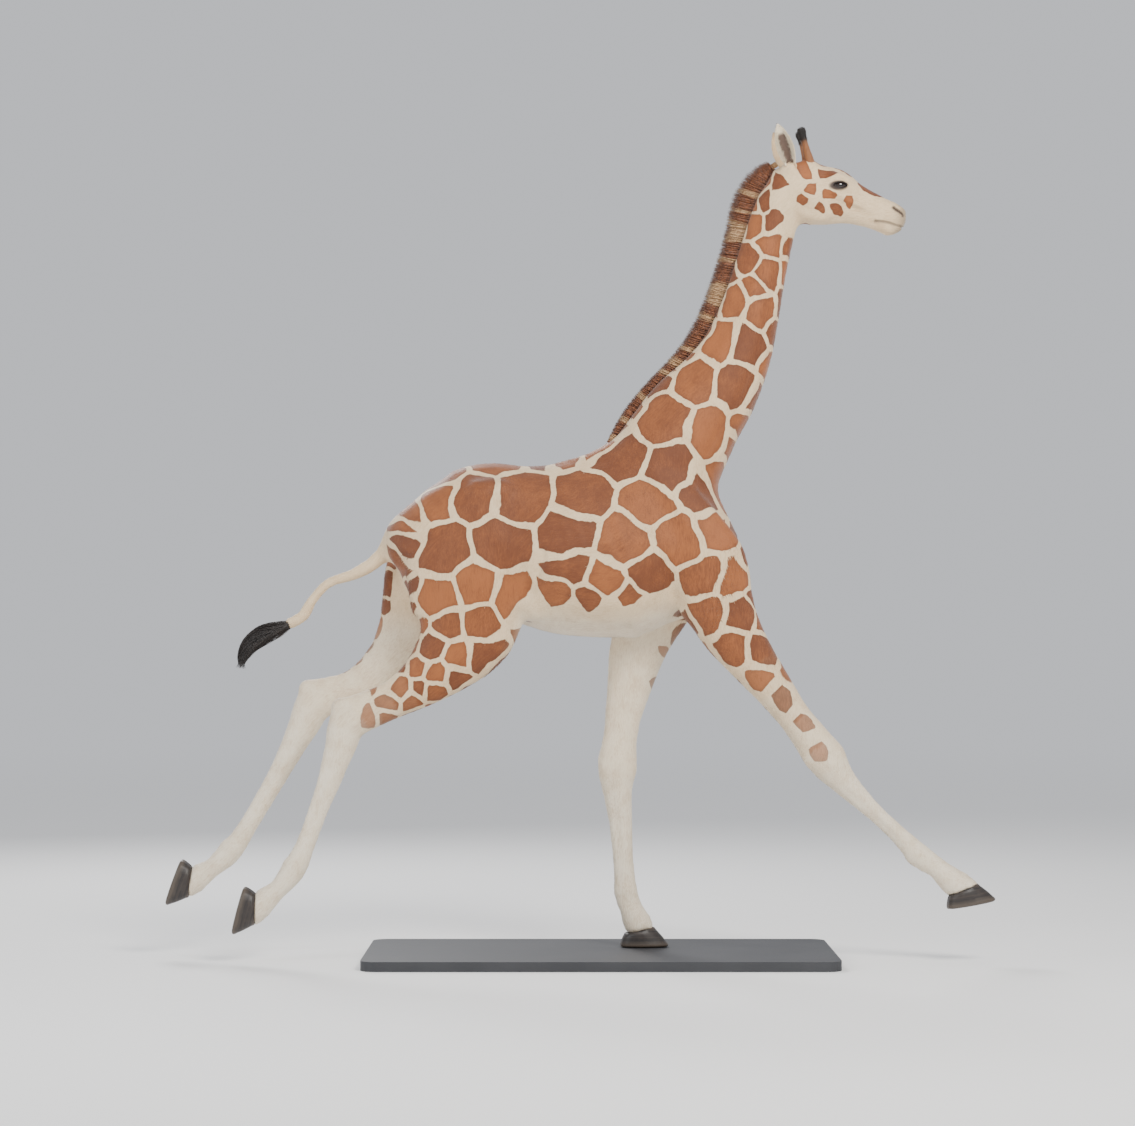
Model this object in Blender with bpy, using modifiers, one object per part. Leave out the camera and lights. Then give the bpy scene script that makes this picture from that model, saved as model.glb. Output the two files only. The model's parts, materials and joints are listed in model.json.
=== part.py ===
"""A life-size giraffe at the gallop, carried by one planted foreleg on a plain flat base.

The animal faces +X, its right side faces -Y, and +Z is up. The origin is the middle of the
base's underside. Heights in the tables are above the base's top face, in metres.
"""

import math
from collections import namedtuple

import bmesh
import bpy
import numpy as np
from mathutils import Matrix, Vector

# Driving dimensions
BASE_LENGTH = 2.40
BASE_WIDTH = 1.20
BASE_THICKNESS = 0.05
BASE_CORNER = 0.08
GROUND = BASE_THICKNESS
GAP = 0.0006
HEAD_PITCH = math.radians(-20.0)
OCCIPUT = Vector((0.90, 0.0, 3.93 + GROUND))
# The eye: half its length, height and depth, how far its slit rises in front, and how far it
# turns in towards the nose
EYE_RADII = (0.036, 0.025, 0.025)
EYE_SLOPE = math.radians(22.0)
EYE_TURN = math.radians(9.0)
# Places on the head: how far along from the occiput, how far to the side, and how far up
EYE_PLACE = (0.310, 0.095, 0.106)
HORN_ROOT, HORN_TIP = (0.128, 0.050, 0.165), (0.020, 0.062, 0.322)
EAR_ROOT, EAR_TIP = (0.040, 0.098, 0.118), (-0.100, 0.140, 0.285)
HOOF_REACH = 0.25
HOOF_HEIGHT = 0.082
CLAW_WIDTH = 0.076
CLEFT = 0.007
# How square a claw's outline is across, and how much narrower it is at the toe
CLAW_SQUARENESS = 0.62
TOE_TAPER = 0.22

SHARP_ANGLE = math.radians(50.0)
CLAW_POINTS = 9
OSSICONE_SIDES = 11
EAR_POINTS = 6
EAR_WALL = 0.007
MANE_SINK = 0.05
MANE_THICKNESS = 0.046
MANE_POINTS = 8

# Where thin cuts part the flesh, and which way lies the piece that is parted off
NECK_CUT, NECK_CUT_AHEAD = Vector((0.35, 0.0, 2.52 + GROUND)), Vector((0.51, 0.0, 0.86))
HEAD_CUT, HEAD_CUT_AHEAD = Vector((0.95, 0.0, 3.88 + GROUND)), Vector((0.855, 0.0, 0.519))
TAIL_CUT, TAIL_CUT_AHEAD = Vector((-1.08, 0.0, 2.10 + GROUND)), Vector((-1.0, 0.0, 0.0))
CUT_MARGIN = 0.03
CROWN_RISE = 0.35
ROOM = 9.0

# How finely the flesh is blended, and how many triangles it keeps
VOXEL = 0.0085
BLEND_PASSES = 7
FLESH_TRIANGLES = 4250
HEAD_FROM, HEAD_COARSENESS = 3.62, 0.5
SHANK_BELOW, SHANK_COARSENESS = 1.25, 0.8
FINENESS = 0.04
RING_POINTS = 26
STEPS = 4

RIGHT, LEFT = -1.0, 1.0

# One ring of a body form: its centre, its size in the side plane and across, and its lean.
# A lean above 0 makes the upper side of the ring the broader one.
Station = namedtuple("Station", "x y z depth width lean")

TRUNK = [
    Station(-1.10, 0.0, 2.060, 0.12, 0.14, 0.0),
    Station(-1.03, 0.0, 2.075, 0.36, 0.34, 0.1),
    Station(-0.91, 0.0, 2.070, 0.61, 0.46, 0.1),
    Station(-0.76, 0.0, 2.070, 0.76, 0.52, 0.1),
    Station(-0.58, 0.0, 2.095, 0.84, 0.55, 0.0),
    Station(-0.40, 0.0, 2.090, 0.82, 0.60, -0.1),
    Station(-0.20, 0.0, 2.070, 0.90, 0.68, -0.2),
    Station(0.00, 0.0, 2.075, 0.95, 0.70, -0.25),
    Station(0.20, 0.0, 2.100, 1.00, 0.66, -0.25),
    Station(0.38, 0.0, 2.070, 0.88, 0.58, -0.2),
    Station(0.52, 0.0, 2.030, 0.68, 0.48, -0.1),
    Station(0.62, 0.0, 2.010, 0.48, 0.36, 0.0),
    Station(0.70, 0.0, 2.000, 0.26, 0.20, 0.0),
]
WITHERS = [
    Station(-0.42, 0.0, 2.40, 0.16, 0.16, 0.0),
    Station(-0.20, 0.0, 2.40, 0.24, 0.22, 0.0),
    Station(0.00, 0.0, 2.43, 0.30, 0.26, 0.0),
    Station(0.18, 0.0, 2.50, 0.36, 0.28, 0.0),
    Station(0.36, 0.0, 2.62, 0.36, 0.24, 0.0),
]
NECK = [
    Station(0.12, 0.0, 2.20, 0.62, 0.46, 0.0),
    Station(0.27, 0.0, 2.38, 0.63, 0.45, 0.0),
    Station(0.37, 0.0, 2.565, 0.575, 0.40, -0.05),
    Station(0.475, 0.0, 2.74, 0.525, 0.345, -0.10),
    Station(0.595, 0.0, 2.895, 0.455, 0.29, -0.12),
    Station(0.695, 0.0, 3.075, 0.380, 0.245, -0.12),
    Station(0.770, 0.0, 3.30, 0.318, 0.210, -0.10),
    Station(0.825, 0.0, 3.52, 0.280, 0.188, -0.10),
    Station(0.880, 0.0, 3.72, 0.262, 0.178, -0.05),
    Station(0.935, 0.0, 3.86, 0.250, 0.172, 0.0),
    Station(1.000, 0.0, 3.93, 0.20, 0.16, 0.0),
]
# The mane's root along the back of the neck, and how tall it stands there
Crest = namedtuple("Crest", "x z height")
MANE = [
    Crest(0.915, 4.045, 0.030),
    Crest(0.862, 4.000, 0.085),
    Crest(0.815, 3.920, 0.115),
    Crest(0.778, 3.820, 0.125),
    Crest(0.730, 3.640, 0.115),
    Crest(0.660, 3.440, 0.104),
    Crest(0.560, 3.210, 0.094),
    Crest(0.440, 3.035, 0.084),
    Crest(0.290, 2.895, 0.068),
    Crest(0.160, 2.765, 0.052),
    Crest(0.070, 2.620, 0.040),
    Crest(0.030, 2.575, 0.015),
]
TAIL = [
    Station(-0.93, 0.0, 2.255, 0.13, 0.15, 0.0),
    Station(-1.035, 0.0, 2.165, 0.135, 0.12, 0.0),
    Station(-1.13, 0.0, 2.02, 0.092, 0.082, 0.0),
    Station(-1.26, 0.0, 1.938, 0.067, 0.063, 0.0),
    Station(-1.395, 0.0, 1.892, 0.055, 0.054, 0.0),
    Station(-1.478, 0.0, 1.805, 0.057, 0.054, 0.0),
    Station(-1.530, 0.0, 1.718, 0.064, 0.058, 0.0),
    Station(-1.615, 0.0, 1.674, 0.066, 0.058, 0.0),
]
TAIL_TUFT = [
    Station(-1.600, 0.0, 1.677, 0.078, 0.068, 0.0),
    Station(-1.660, 0.0, 1.652, 0.092, 0.082, 0.0),
    Station(-1.735, 0.0, 1.622, 0.112, 0.094, 0.0),
    Station(-1.800, 0.0, 1.572, 0.098, 0.084, 0.0),
    Station(-1.838, 0.0, 1.510, 0.066, 0.056, 0.0),
    Station(-1.848, 0.0, 1.450, 0.020, 0.018, 0.0),
]

# The legs run from the shoulder blade or the hip to below the coronet.
FORELEG_RIGHT = [
    Station(0.27, -0.185, 2.44, 0.18, 0.08, 0.0),
    Station(0.36, -0.205, 2.30, 0.30, 0.13, 0.0),
    Station(0.47, -0.210, 2.13, 0.36, 0.17, 0.0),
    Station(0.555, -0.205, 1.96, 0.40, 0.20, 0.0),
    Station(0.585, -0.200, 1.83, 0.385, 0.205, 0.0),
    Station(0.645, -0.195, 1.68, 0.335, 0.20, 0.0),
    Station(0.740, -0.190, 1.535, 0.275, 0.185, 0.0),
    Station(0.900, -0.185, 1.325, 0.205, 0.160, 0.0),
    Station(1.010, -0.180, 1.180, 0.182, 0.150, 0.0),
    Station(1.150, -0.175, 0.990, 0.208, 0.168, 0.0),
    Station(1.235, -0.172, 0.880, 0.150, 0.128, 0.0),
    Station(1.370, -0.170, 0.745, 0.100, 0.090, 0.0),
    Station(1.520, -0.168, 0.605, 0.102, 0.090, 0.0),
    Station(1.625, -0.166, 0.500, 0.132, 0.118, 0.0),
    Station(1.720, -0.165, 0.428, 0.124, 0.122, 0.0),
    Station(1.850, -0.165, 0.322, 0.156, 0.150, 0.0),
    Station(1.920, -0.165, 0.262, 0.156, 0.150, 0.0),
]
FORELEG_LEFT = [
    Station(0.25, 0.185, 2.44, 0.18, 0.08, 0.0),
    Station(0.33, 0.205, 2.30, 0.29, 0.13, 0.0),
    Station(0.40, 0.210, 2.13, 0.35, 0.17, 0.0),
    Station(0.41, 0.205, 1.97, 0.39, 0.20, 0.0),
    Station(0.33, 0.200, 1.82, 0.37, 0.205, 0.0),
    Station(0.245, 0.195, 1.67, 0.34, 0.20, 0.0),
    Station(0.190, 0.190, 1.52, 0.30, 0.185, 0.0),
    Station(0.140, 0.185, 1.28, 0.222, 0.160, 0.0),
    Station(0.110, 0.180, 1.10, 0.188, 0.150, 0.0),
    Station(0.090, 0.175, 0.93, 0.208, 0.168, 0.0),
    Station(0.095, 0.172, 0.80, 0.160, 0.128, 0.0),
    Station(0.112, 0.170, 0.63, 0.128, 0.096, 0.0),
    Station(0.126, 0.168, 0.42, 0.118, 0.092, 0.0),
    Station(0.142, 0.166, 0.27, 0.130, 0.106, 0.0),
    Station(0.162, 0.165, 0.195, 0.136, 0.122, 0.0),
    Station(0.205, 0.165, 0.105, 0.150, 0.148, 0.0),
    Station(0.230, 0.165, 0.040, 0.160, 0.150, 0.0),
]
HIND_RIGHT = [
    Station(-0.62, -0.130, 2.26, 0.36, 0.20, 0.0),
    Station(-0.64, -0.155, 2.10, 0.60, 0.24, 0.0),
    Station(-0.655, -0.165, 1.93, 0.68, 0.25, 0.0),
    Station(-0.675, -0.165, 1.76, 0.62, 0.235, 0.0),
    Station(-0.700, -0.165, 1.62, 0.52, 0.215, 0.0),
    Station(-0.785, -0.165, 1.495, 0.39, 0.185, 0.0),
    Station(-0.925, -0.165, 1.370, 0.270, 0.155, 0.0),
    Station(-1.080, -0.165, 1.278, 0.205, 0.140, 0.0),
    Station(-1.270, -0.165, 1.190, 0.215, 0.145, 0.0),
    Station(-1.325, -0.165, 1.050, 0.172, 0.128, 0.0),
    Station(-1.385, -0.165, 0.865, 0.128, 0.100, 0.0),
    Station(-1.435, -0.165, 0.735, 0.106, 0.090, 0.0),
    Station(-1.495, -0.165, 0.570, 0.106, 0.092, 0.0),
    Station(-1.560, -0.165, 0.425, 0.132, 0.118, 0.0),
    Station(-1.652, -0.165, 0.322, 0.116, 0.120, 0.0),
    Station(-1.762, -0.165, 0.226, 0.150, 0.146, 0.0),
    Station(-1.830, -0.165, 0.178, 0.150, 0.146, 0.0),
]
HIND_LEFT = [
    Station(-0.66, 0.130, 2.25, 0.36, 0.20, 0.0),
    Station(-0.73, 0.155, 2.09, 0.58, 0.24, 0.0),
    Station(-0.81, 0.165, 1.92, 0.64, 0.25, 0.0),
    Station(-0.88, 0.165, 1.75, 0.56, 0.235, 0.0),
    Station(-0.955, 0.165, 1.61, 0.46, 0.205, 0.0),
    Station(-1.060, 0.165, 1.485, 0.345, 0.18, 0.0),
    Station(-1.190, 0.165, 1.385, 0.255, 0.155, 0.0),
    Station(-1.320, 0.165, 1.325, 0.202, 0.140, 0.0),
    Station(-1.470, 0.165, 1.275, 0.215, 0.145, 0.0),
    Station(-1.545, 0.165, 1.140, 0.170, 0.128, 0.0),
    Station(-1.625, 0.165, 0.985, 0.130, 0.100, 0.0),
    Station(-1.710, 0.165, 0.830, 0.108, 0.090, 0.0),
    Station(-1.835, 0.165, 0.620, 0.108, 0.092, 0.0),
    Station(-1.925, 0.165, 0.490, 0.132, 0.118, 0.0),
    Station(-2.025, 0.165, 0.408, 0.116, 0.120, 0.0),
    Station(-2.132, 0.165, 0.338, 0.150, 0.146, 0.0),
    Station(-2.200, 0.165, 0.306, 0.150, 0.146, 0.0),
]
# Which station of a leg lies below the belly, or is its knee, hock or coronet
BELLY, HOCK, KNEE, CORONET = 6, 8, 9, 15

# A leg: its stations, its side, the station of its knee or hock, how far its toe points above
# the level, and the slant of the cut that parts it from the trunk: how far from the middle
# plane the cut lies at the ground, and how much farther for each metre up
Leg = namedtuple("Leg", "stations side joint toe_pitch cut_at_ground cut_slant")
LEGS = {
    "front_right": Leg(FORELEG_RIGHT, RIGHT, KNEE, math.radians(10.0), -0.074, 0.08),
    "front_left": Leg(FORELEG_LEFT, LEFT, KNEE, 0.0, -0.074, 0.08),
    "hind_right": Leg(HIND_RIGHT, RIGHT, HOCK, math.radians(-105.0), -0.172, 0.12),
    "hind_left": Leg(HIND_LEFT, LEFT, HOCK, math.radians(-110.0), -0.172, 0.12),
}
CORONET_SLOPE = math.radians(12.0)

# Head rings along its own axis: how far from the occiput, the top and bottom of the profile,
# the width, and the lean
HeadRing = namedtuple("HeadRing", "along top bottom width lean")
HEAD = [
    HeadRing(-0.045, 0.080, -0.055, 0.11, 0.0),
    HeadRing(0.010, 0.130, -0.105, 0.165, 0.0),
    HeadRing(0.080, 0.165, -0.128, 0.190, 0.0),
    HeadRing(0.150, 0.190, -0.133, 0.205, 0.1),
    HeadRing(0.220, 0.196, -0.130, 0.212, 0.2),
    HeadRing(0.290, 0.204, -0.110, 0.208, 0.3),
    HeadRing(0.350, 0.192, -0.082, 0.190, 0.35),
    HeadRing(0.410, 0.166, -0.058, 0.158, 0.3),
    HeadRing(0.480, 0.152, -0.046, 0.132, 0.2),
    HeadRing(0.550, 0.146, -0.042, 0.120, 0.1),
    HeadRing(0.615, 0.142, -0.042, 0.124, 0.0),
    HeadRing(0.665, 0.118, -0.026, 0.116, 0.0),
    HeadRing(0.695, 0.075, 0.008, 0.070, 0.0),
]


def at_head(along, side, up):
    """A place given along the head's axis from the occiput, out to the side, and up."""
    turn = Matrix.Rotation(-HEAD_PITCH, 3, "Y")
    return OCCIPUT + turn @ Vector((along, side, up))


# ---- making meshes ----

def new_object(name, mesh):
    obj = bpy.data.objects.new(name, mesh)
    bpy.context.scene.collection.objects.link(obj)
    return obj


def object_from(name, bm):
    bmesh.ops.recalc_face_normals(bm, faces=bm.faces)
    mesh = bpy.data.meshes.new(name)
    bm.to_mesh(mesh)
    bm.free()
    return new_object(name, mesh)


def eased(rows, steps):
    """The rows with Catmull-Rom rows between them."""
    table = np.array(rows, float)
    padded = np.vstack([2 * table[0] - table[1], table, 2 * table[-1] - table[-2]])
    found = []
    for i in range(1, len(padded) - 2):
        before, start, end, after = padded[i - 1 : i + 3]
        for t in np.arange(steps) / steps:
            found.append(
                0.5
                * (
                    2 * start
                    + (end - before) * t
                    + (2 * before - 5 * start + 4 * end - after) * t**2
                    + (3 * start - before - 3 * end + after) * t**3
                )
            )
    found.append(table[-1])
    return np.array(found)


def skin_rings(name, rings):
    """A closed form through rings of equal length, with a flat cap at each end."""
    bm = bmesh.new()
    loops = [[bm.verts.new(point) for point in ring] for ring in rings]
    for lower, upper in zip(loops, loops[1:]):
        for i in range(len(lower)):
            j = (i + 1) % len(lower)
            bm.faces.new((lower[i], lower[j], upper[j], upper[i]))
    bm.faces.new(reversed(loops[0]))
    bm.faces.new(loops[-1])
    return object_from(name, bm)


def tangents(centres):
    ahead = np.gradient(np.array(centres), axis=0)
    return ahead / np.linalg.norm(ahead, axis=1)[:, None]


def ring_at(centre, ahead, depth, width, lean, points=RING_POINTS):
    """An egg-shaped ring across the direction ahead, level from side to side."""
    ahead = Vector(ahead)
    side = Vector((0.0, 1.0, 0.0))
    side = (side - ahead * side.dot(ahead)).normalized()
    up = ahead.cross(side)
    ring = []
    for i in range(points):
        turn = 2 * math.pi * i / points
        across = width / 2 * math.cos(turn) * (1 + lean * math.sin(turn))
        ring.append(Vector(centre) + side * across + up * (depth / 2 * math.sin(turn)))
    return ring


def limb(name, stations, steps=STEPS, points=RING_POINTS):
    """A body form through stations, whose rings cross its own line."""
    rows = eased(stations, steps)
    rows[:, 2] += GROUND
    directions = tangents(rows[:, :3])
    rings = [
        ring_at(row[:3], ahead, row[3], row[4], row[5], points)
        for row, ahead in zip(rows, directions)
    ]
    return skin_rings(name, rings)


def ball(name, centre, radii, pitch=0.0, segments=24):
    """An ellipsoid, its long axis raised by pitch in the side plane."""
    bm = bmesh.new()
    place = (
        Matrix.Translation(centre)
        @ Matrix.Rotation(-pitch, 4, "Y")
        @ Matrix.Diagonal((*radii, 1.0))
    )
    bmesh.ops.create_uvsphere(
        bm, u_segments=segments, v_segments=segments // 2, radius=1.0, matrix=place
    )
    return object_from(name, bm)


def body_ball(name, x, y, z, radii, pitch_deg=0.0):
    """An ellipsoid placed by its height above the base."""
    return ball(name, (x, y, z + GROUND), radii, math.radians(pitch_deg))


def evaluated_mesh(obj):
    graph = bpy.context.evaluated_depsgraph_get()
    return bpy.data.meshes.new_from_object(obj.evaluated_get(graph))


def bake(obj):
    """Applies the object's modifiers."""
    mesh = evaluated_mesh(obj)
    obj.modifiers.clear()
    obj.data = mesh
    return obj


def remove(*objects):
    for obj in objects:
        bpy.data.objects.remove(obj)


def boolean(obj, other, operation):
    modifier = obj.modifiers.new(operation, "BOOLEAN")
    modifier.operation = operation
    modifier.object = other
    modifier.solver = "EXACT"
    return bake(obj)


def inflated(obj, by, name="envelope"):
    """A copy of a closed form, grown by a distance along its normals."""
    copy = new_object(name, obj.data.copy())
    grow = copy.modifiers.new("grow", "DISPLACE")
    grow.mid_level = 0.0
    grow.strength = by
    return bake(copy)


def half_space(point, normal, size=ROOM):
    """A cube whose face lies on the plane, on the side that the normal points to."""
    bm = bmesh.new()
    normal = Vector(normal).normalized()
    turn = normal.to_track_quat("Z", "Y").to_matrix().to_4x4()
    place = Matrix.Translation(Vector(point) + normal * size / 2) @ turn
    bmesh.ops.create_cube(bm, size=size, matrix=place)
    return object_from("half_space", bm)


def split_at_plane(obj, point, normal, name):
    """Parts obj by a thin cut. What lies beyond the plane becomes the named object."""
    normal = Vector(normal).normalized()
    beyond = new_object(name, obj.data.copy())
    near_side = half_space(point, normal)
    far_side = half_space(Vector(point) + normal * GAP, normal)
    boolean(obj, near_side, "DIFFERENCE")
    boolean(beyond, far_side, "INTERSECT")
    remove(near_side, far_side)
    return beyond


def seat(piece, carrier):
    """Trims a piece so that it meets its carrier face to face, with the thin gap."""
    grown = inflated(carrier, GAP)
    boolean(piece, grown, "DIFFERENCE")
    remove(grown)
    return largest_body(piece)


def largest_body(obj):
    """Keeps the largest loose part of a mesh."""
    bm = bmesh.new()
    bm.from_mesh(obj.data)
    unseen = set(bm.verts)
    groups = []
    while unseen:
        queue = [unseen.pop()]
        group = set(queue)
        while queue:
            for edge in queue.pop().link_edges:
                for vert in edge.verts:
                    if vert not in group:
                        group.add(vert)
                        queue.append(vert)
        unseen -= group
        groups.append(group)
    groups.sort(key=len)
    for group in groups[:-1]:
        bmesh.ops.delete(bm, geom=list(group), context="VERTS")
    bm.to_mesh(obj.data)
    bm.free()
    return obj


# ---- the flesh ----

def head_forms():
    rings = []
    for row in eased(HEAD, STEPS):
        ring = HeadRing(*row)
        centre = at_head(ring.along, 0.0, (ring.top + ring.bottom) / 2)
        ahead = at_head(1.0, 0.0, 0.0) - at_head(0.0, 0.0, 0.0)
        rings.append(ring_at(centre, ahead, ring.top - ring.bottom, ring.width, ring.lean))
    forms = [skin_rings("skull", rings)]
    forms.append(ball("forehead", at_head(0.250, 0.0, 0.150), (0.095, 0.060, 0.050), HEAD_PITCH))
    forms.append(ball("nose", at_head(0.640, 0.0, 0.088), (0.055, 0.054, 0.044), HEAD_PITCH))
    forms.append(ball("upper_lip", at_head(0.664, 0.0, 0.050), (0.040, 0.047, 0.036), HEAD_PITCH))
    forms.append(ball("chin", at_head(0.618, 0.0, -0.008), (0.055, 0.038, 0.032), HEAD_PITCH))
    for side in (RIGHT, LEFT):
        places = {
            "brow": ((0.299, side * 0.076, 0.116), (0.075, 0.036, 0.046)),
            "cheek": ((0.215, side * 0.056, -0.030), (0.125, 0.046, 0.090)),
            "nostril": ((0.628, side * 0.034, 0.096), (0.045, 0.027, 0.032)),
            "horn_root": ((0.135, side * 0.046, 0.146), (0.070, 0.042, 0.050)),
            "ear_root": ((0.040, side * 0.066, 0.098), (0.056, 0.044, 0.056)),
        }
        for name, (place, radii) in places.items():
            forms.append(ball(name, at_head(*place), radii, HEAD_PITCH))
    return forms


def body_forms():
    forms = [limb("trunk_form", TRUNK), limb("withers", WITHERS), limb("neck_form", NECK)]
    forms.append(limb("tail_form", TAIL))
    forms += [limb(name, leg.stations) for name, leg in LEGS.items()]
    forms.append(body_ball("brisket", 0.60, 0.0, 1.88, (0.17, 0.15, 0.22)))
    forms.append(body_ball("croup", -0.70, 0.0, 2.35, (0.30, 0.15, 0.12), 22.0))
    for side in (RIGHT, LEFT):
        forms.append(body_ball("hip_bone", -0.56, side * 0.175, 2.34, (0.16, 0.080, 0.09)))
        forms.append(body_ball("flank", -0.36, side * 0.19, 1.86, (0.16, 0.09, 0.20), 50.0))
        forms.append(body_ball("seat_bone", -0.98, side * 0.080, 2.06, (0.11, 0.075, 0.13)))
    forms.append(body_ball("shoulder_right", 0.60, -0.160, 1.98, (0.145, 0.095, 0.17)))
    forms.append(body_ball("shoulder_left", 0.50, 0.160, 1.99, (0.145, 0.095, 0.17)))
    forms.append(body_ball("hock_point_right", -1.335, -0.165, 1.262, (0.052, 0.038, 0.040), 30.0))
    forms.append(body_ball("hock_point_left", -1.530, 0.165, 1.350, (0.052, 0.038, 0.040), 30.0))
    return forms


def blended(name, forms):
    """One smooth closed mesh round all the forms."""
    bm = bmesh.new()
    for form in forms:
        bm.from_mesh(form.data)
    whole = object_from(name, bm)
    remove(*forms)
    remesh = whole.modifiers.new("join", "REMESH")
    remesh.mode = "VOXEL"
    remesh.voxel_size = VOXEL
    smooth = whole.modifiers.new("blend", "SMOOTH")
    smooth.factor = 0.5
    smooth.iterations = BLEND_PASSES
    return bake(whole)


def thinned(obj, triangles):
    """Fewer triangles, with more of them kept on the head and the lower legs."""
    group = obj.vertex_groups.new(name="coarse")
    for vert in obj.data.vertices:
        height = vert.co.z - GROUND
        coarseness = 1.0
        if height > HEAD_FROM:
            coarseness = HEAD_COARSENESS
        if height < SHANK_BELOW:
            coarseness = SHANK_COARSENESS
        group.add([vert.index], coarseness, "REPLACE")
    obj.data.calc_loop_triangles()
    decimate = obj.modifiers.new("thin", "DECIMATE")
    decimate.ratio = triangles / len(obj.data.loop_triangles)
    decimate.vertex_group = "coarse"
    decimate.vertex_group_factor = FINENESS
    decimate.use_collapse_triangulate = True
    return bake(obj)


# ---- parting the flesh ----

def leg_cutter(leg):
    """A block round a leg, from a slanting plane near the middle of the body outwards."""
    rows = np.array(leg.stations)
    rows[:, 2] += GROUND
    front, rear = [], []
    for row, ahead in list(zip(rows, tangents(rows[:, :3])))[: BELLY + 1]:
        across = Vector((-ahead[2], 0.0, ahead[0])).normalized() * (row[3] / 2 + CUT_MARGIN)
        centre = Vector((row[0], 0.0, row[2]))
        front.append(centre + across)
        rear.append(centre - across)
    rise = CROWN_RISE * (front[0] - rear[0]).length
    crown = front[0].lerp(rear[0], 0.5) + Vector((0.0, 0.0, rise))
    fore_end = max(rows[:, 0].max(), front[-1].x) + HOOF_REACH
    rear_end = min(rows[:, 0].min(), rear[-1].x) - HOOF_REACH
    apron = [
        Vector((fore_end, 0.0, front[-1].z)),
        Vector((fore_end, 0.0, 0.0)),
        Vector((rear_end, 0.0, 0.0)),
        Vector((rear_end, 0.0, rear[-1].z)),
    ]
    outline = [crown, *front, *apron, *reversed(rear)]
    inner = []
    for point in outline:
        inset = leg.cut_at_ground + leg.cut_slant * point.z
        inner.append(Vector((point.x, leg.side * inset, point.z)))
    outer = [Vector((point.x, leg.side * BASE_WIDTH, point.z)) for point in outline]
    return skin_rings("leg_cutter", [inner, outer])


def part_leg(flesh, name, leg):
    """Takes a leg off the flesh, as its own object."""
    piece = new_object(name, flesh.data.copy())
    cutter = leg_cutter(leg)
    grown = inflated(cutter, GAP)
    boolean(piece, cutter, "INTERSECT")
    boolean(flesh, grown, "DIFFERENCE")
    remove(cutter, grown)
    return largest_body(piece)


def joint_plane(leg, index):
    """The place and direction of a leg's line at one of its stations."""
    centres = np.array(leg.stations)[:, :3] + (0.0, 0.0, GROUND)
    return Vector(centres[index]), Vector(tangents(centres)[index])


def hoof_frame(leg):
    """The coronet's middle, with X towards the toe and Z away from the sole."""
    centre, _ = joint_plane(leg, CORONET)
    if leg.toe_pitch == 0.0:
        centre.z = GROUND + 2 * GAP + HOOF_HEIGHT
    return Matrix.Translation(centre) @ Matrix.Rotation(-leg.toe_pitch, 4, "Y")


# ---- the separate pieces ----

def hoof_claw(name, leg, outer):
    """One of the two claws of a hoof, from its flat sole up to the coronet."""
    side = leg.side if outer else -leg.side
    rise = math.tan(CORONET_SLOPE)
    # Each ring: the heel and the toe along the sole, the width, and the height at the heel
    levels = [
        (-0.092, 0.145, 0.90, -1.0),
        (-0.098, 0.155, 1.00, -0.90),
        (-0.096, 0.128, 1.00, -0.55),
        (-0.088, 0.098, 0.98, -0.20),
        (-0.080, 0.080, 0.94, 0.0),
    ]
    rings = []
    for heel, toe, width, level in levels:
        ring = []
        for i in range(CLAW_POINTS + 1):
            turn = math.pi * i / CLAW_POINTS
            along = (toe + heel) / 2 + (toe - heel) / 2 * math.cos(turn)
            bulge = math.sin(turn) ** CLAW_SQUARENESS
            taper = 1.0 - TOE_TAPER * max(0.0, along / toe) ** 2
            across = CLEFT / 2 + CLAW_WIDTH * width * bulge * taper
            slope = (1.0 + level) * rise * along
            height = HOOF_HEIGHT * level + slope - GAP
            ring.append((along, side * across, height))
        rings.append(ring)
    claw = skin_rings(name, rings)
    claw.data.transform(hoof_frame(leg))
    return claw


def trim_at_coronet(piece, leg):
    """Cuts a leg off flush above its hoof."""
    frame = hoof_frame(leg)
    down = frame.to_3x3() @ Vector((math.sin(CORONET_SLOPE), 0.0, -math.cos(CORONET_SLOPE)))
    hoof_side = half_space(frame.translation, down)
    boolean(piece, hoof_side, "DIFFERENCE")
    remove(hoof_side)
    return largest_body(piece)


def on_head(place, side):
    along, out, up = place
    return at_head(along, side * out, up)


def eyeball(name, side):
    """A long eye, as the lids leave it open, on the side of the head."""
    eye = ball(name, (0.0, 0.0, 0.0), EYE_RADII, HEAD_PITCH + EYE_SLOPE, segments=14)
    place = Matrix.Translation(on_head(EYE_PLACE, side)) @ Matrix.Rotation(-side * EYE_TURN, 4, "Z")
    eye.data.transform(place)
    return eye


def ossicone(name, side):
    """A horn of bone under skin, broad at its root, with a knob at its tip."""
    root, tip = on_head(HORN_ROOT, side), on_head(HORN_TIP, side)
    reach = tip - root
    profile = [
        (-0.10, 0.034),
        (0.10, 0.029),
        (0.30, 0.0225),
        (0.55, 0.0185),
        (0.75, 0.0195),
        (0.88, 0.0235),
        (0.96, 0.0215),
        (1.0, 0.0120),
    ]
    rings = []
    turn = reach.to_track_quat("Z", "Y")
    for along, radius in profile:
        circle = []
        for i in range(OSSICONE_SIDES):
            angle = 2 * math.pi * i / OSSICONE_SIDES
            spoke = Vector((radius * math.cos(angle), radius * math.sin(angle), 0.0))
            circle.append(root + reach * along + turn @ spoke)
        rings.append(circle)
    return skin_rings(name, rings)


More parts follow.
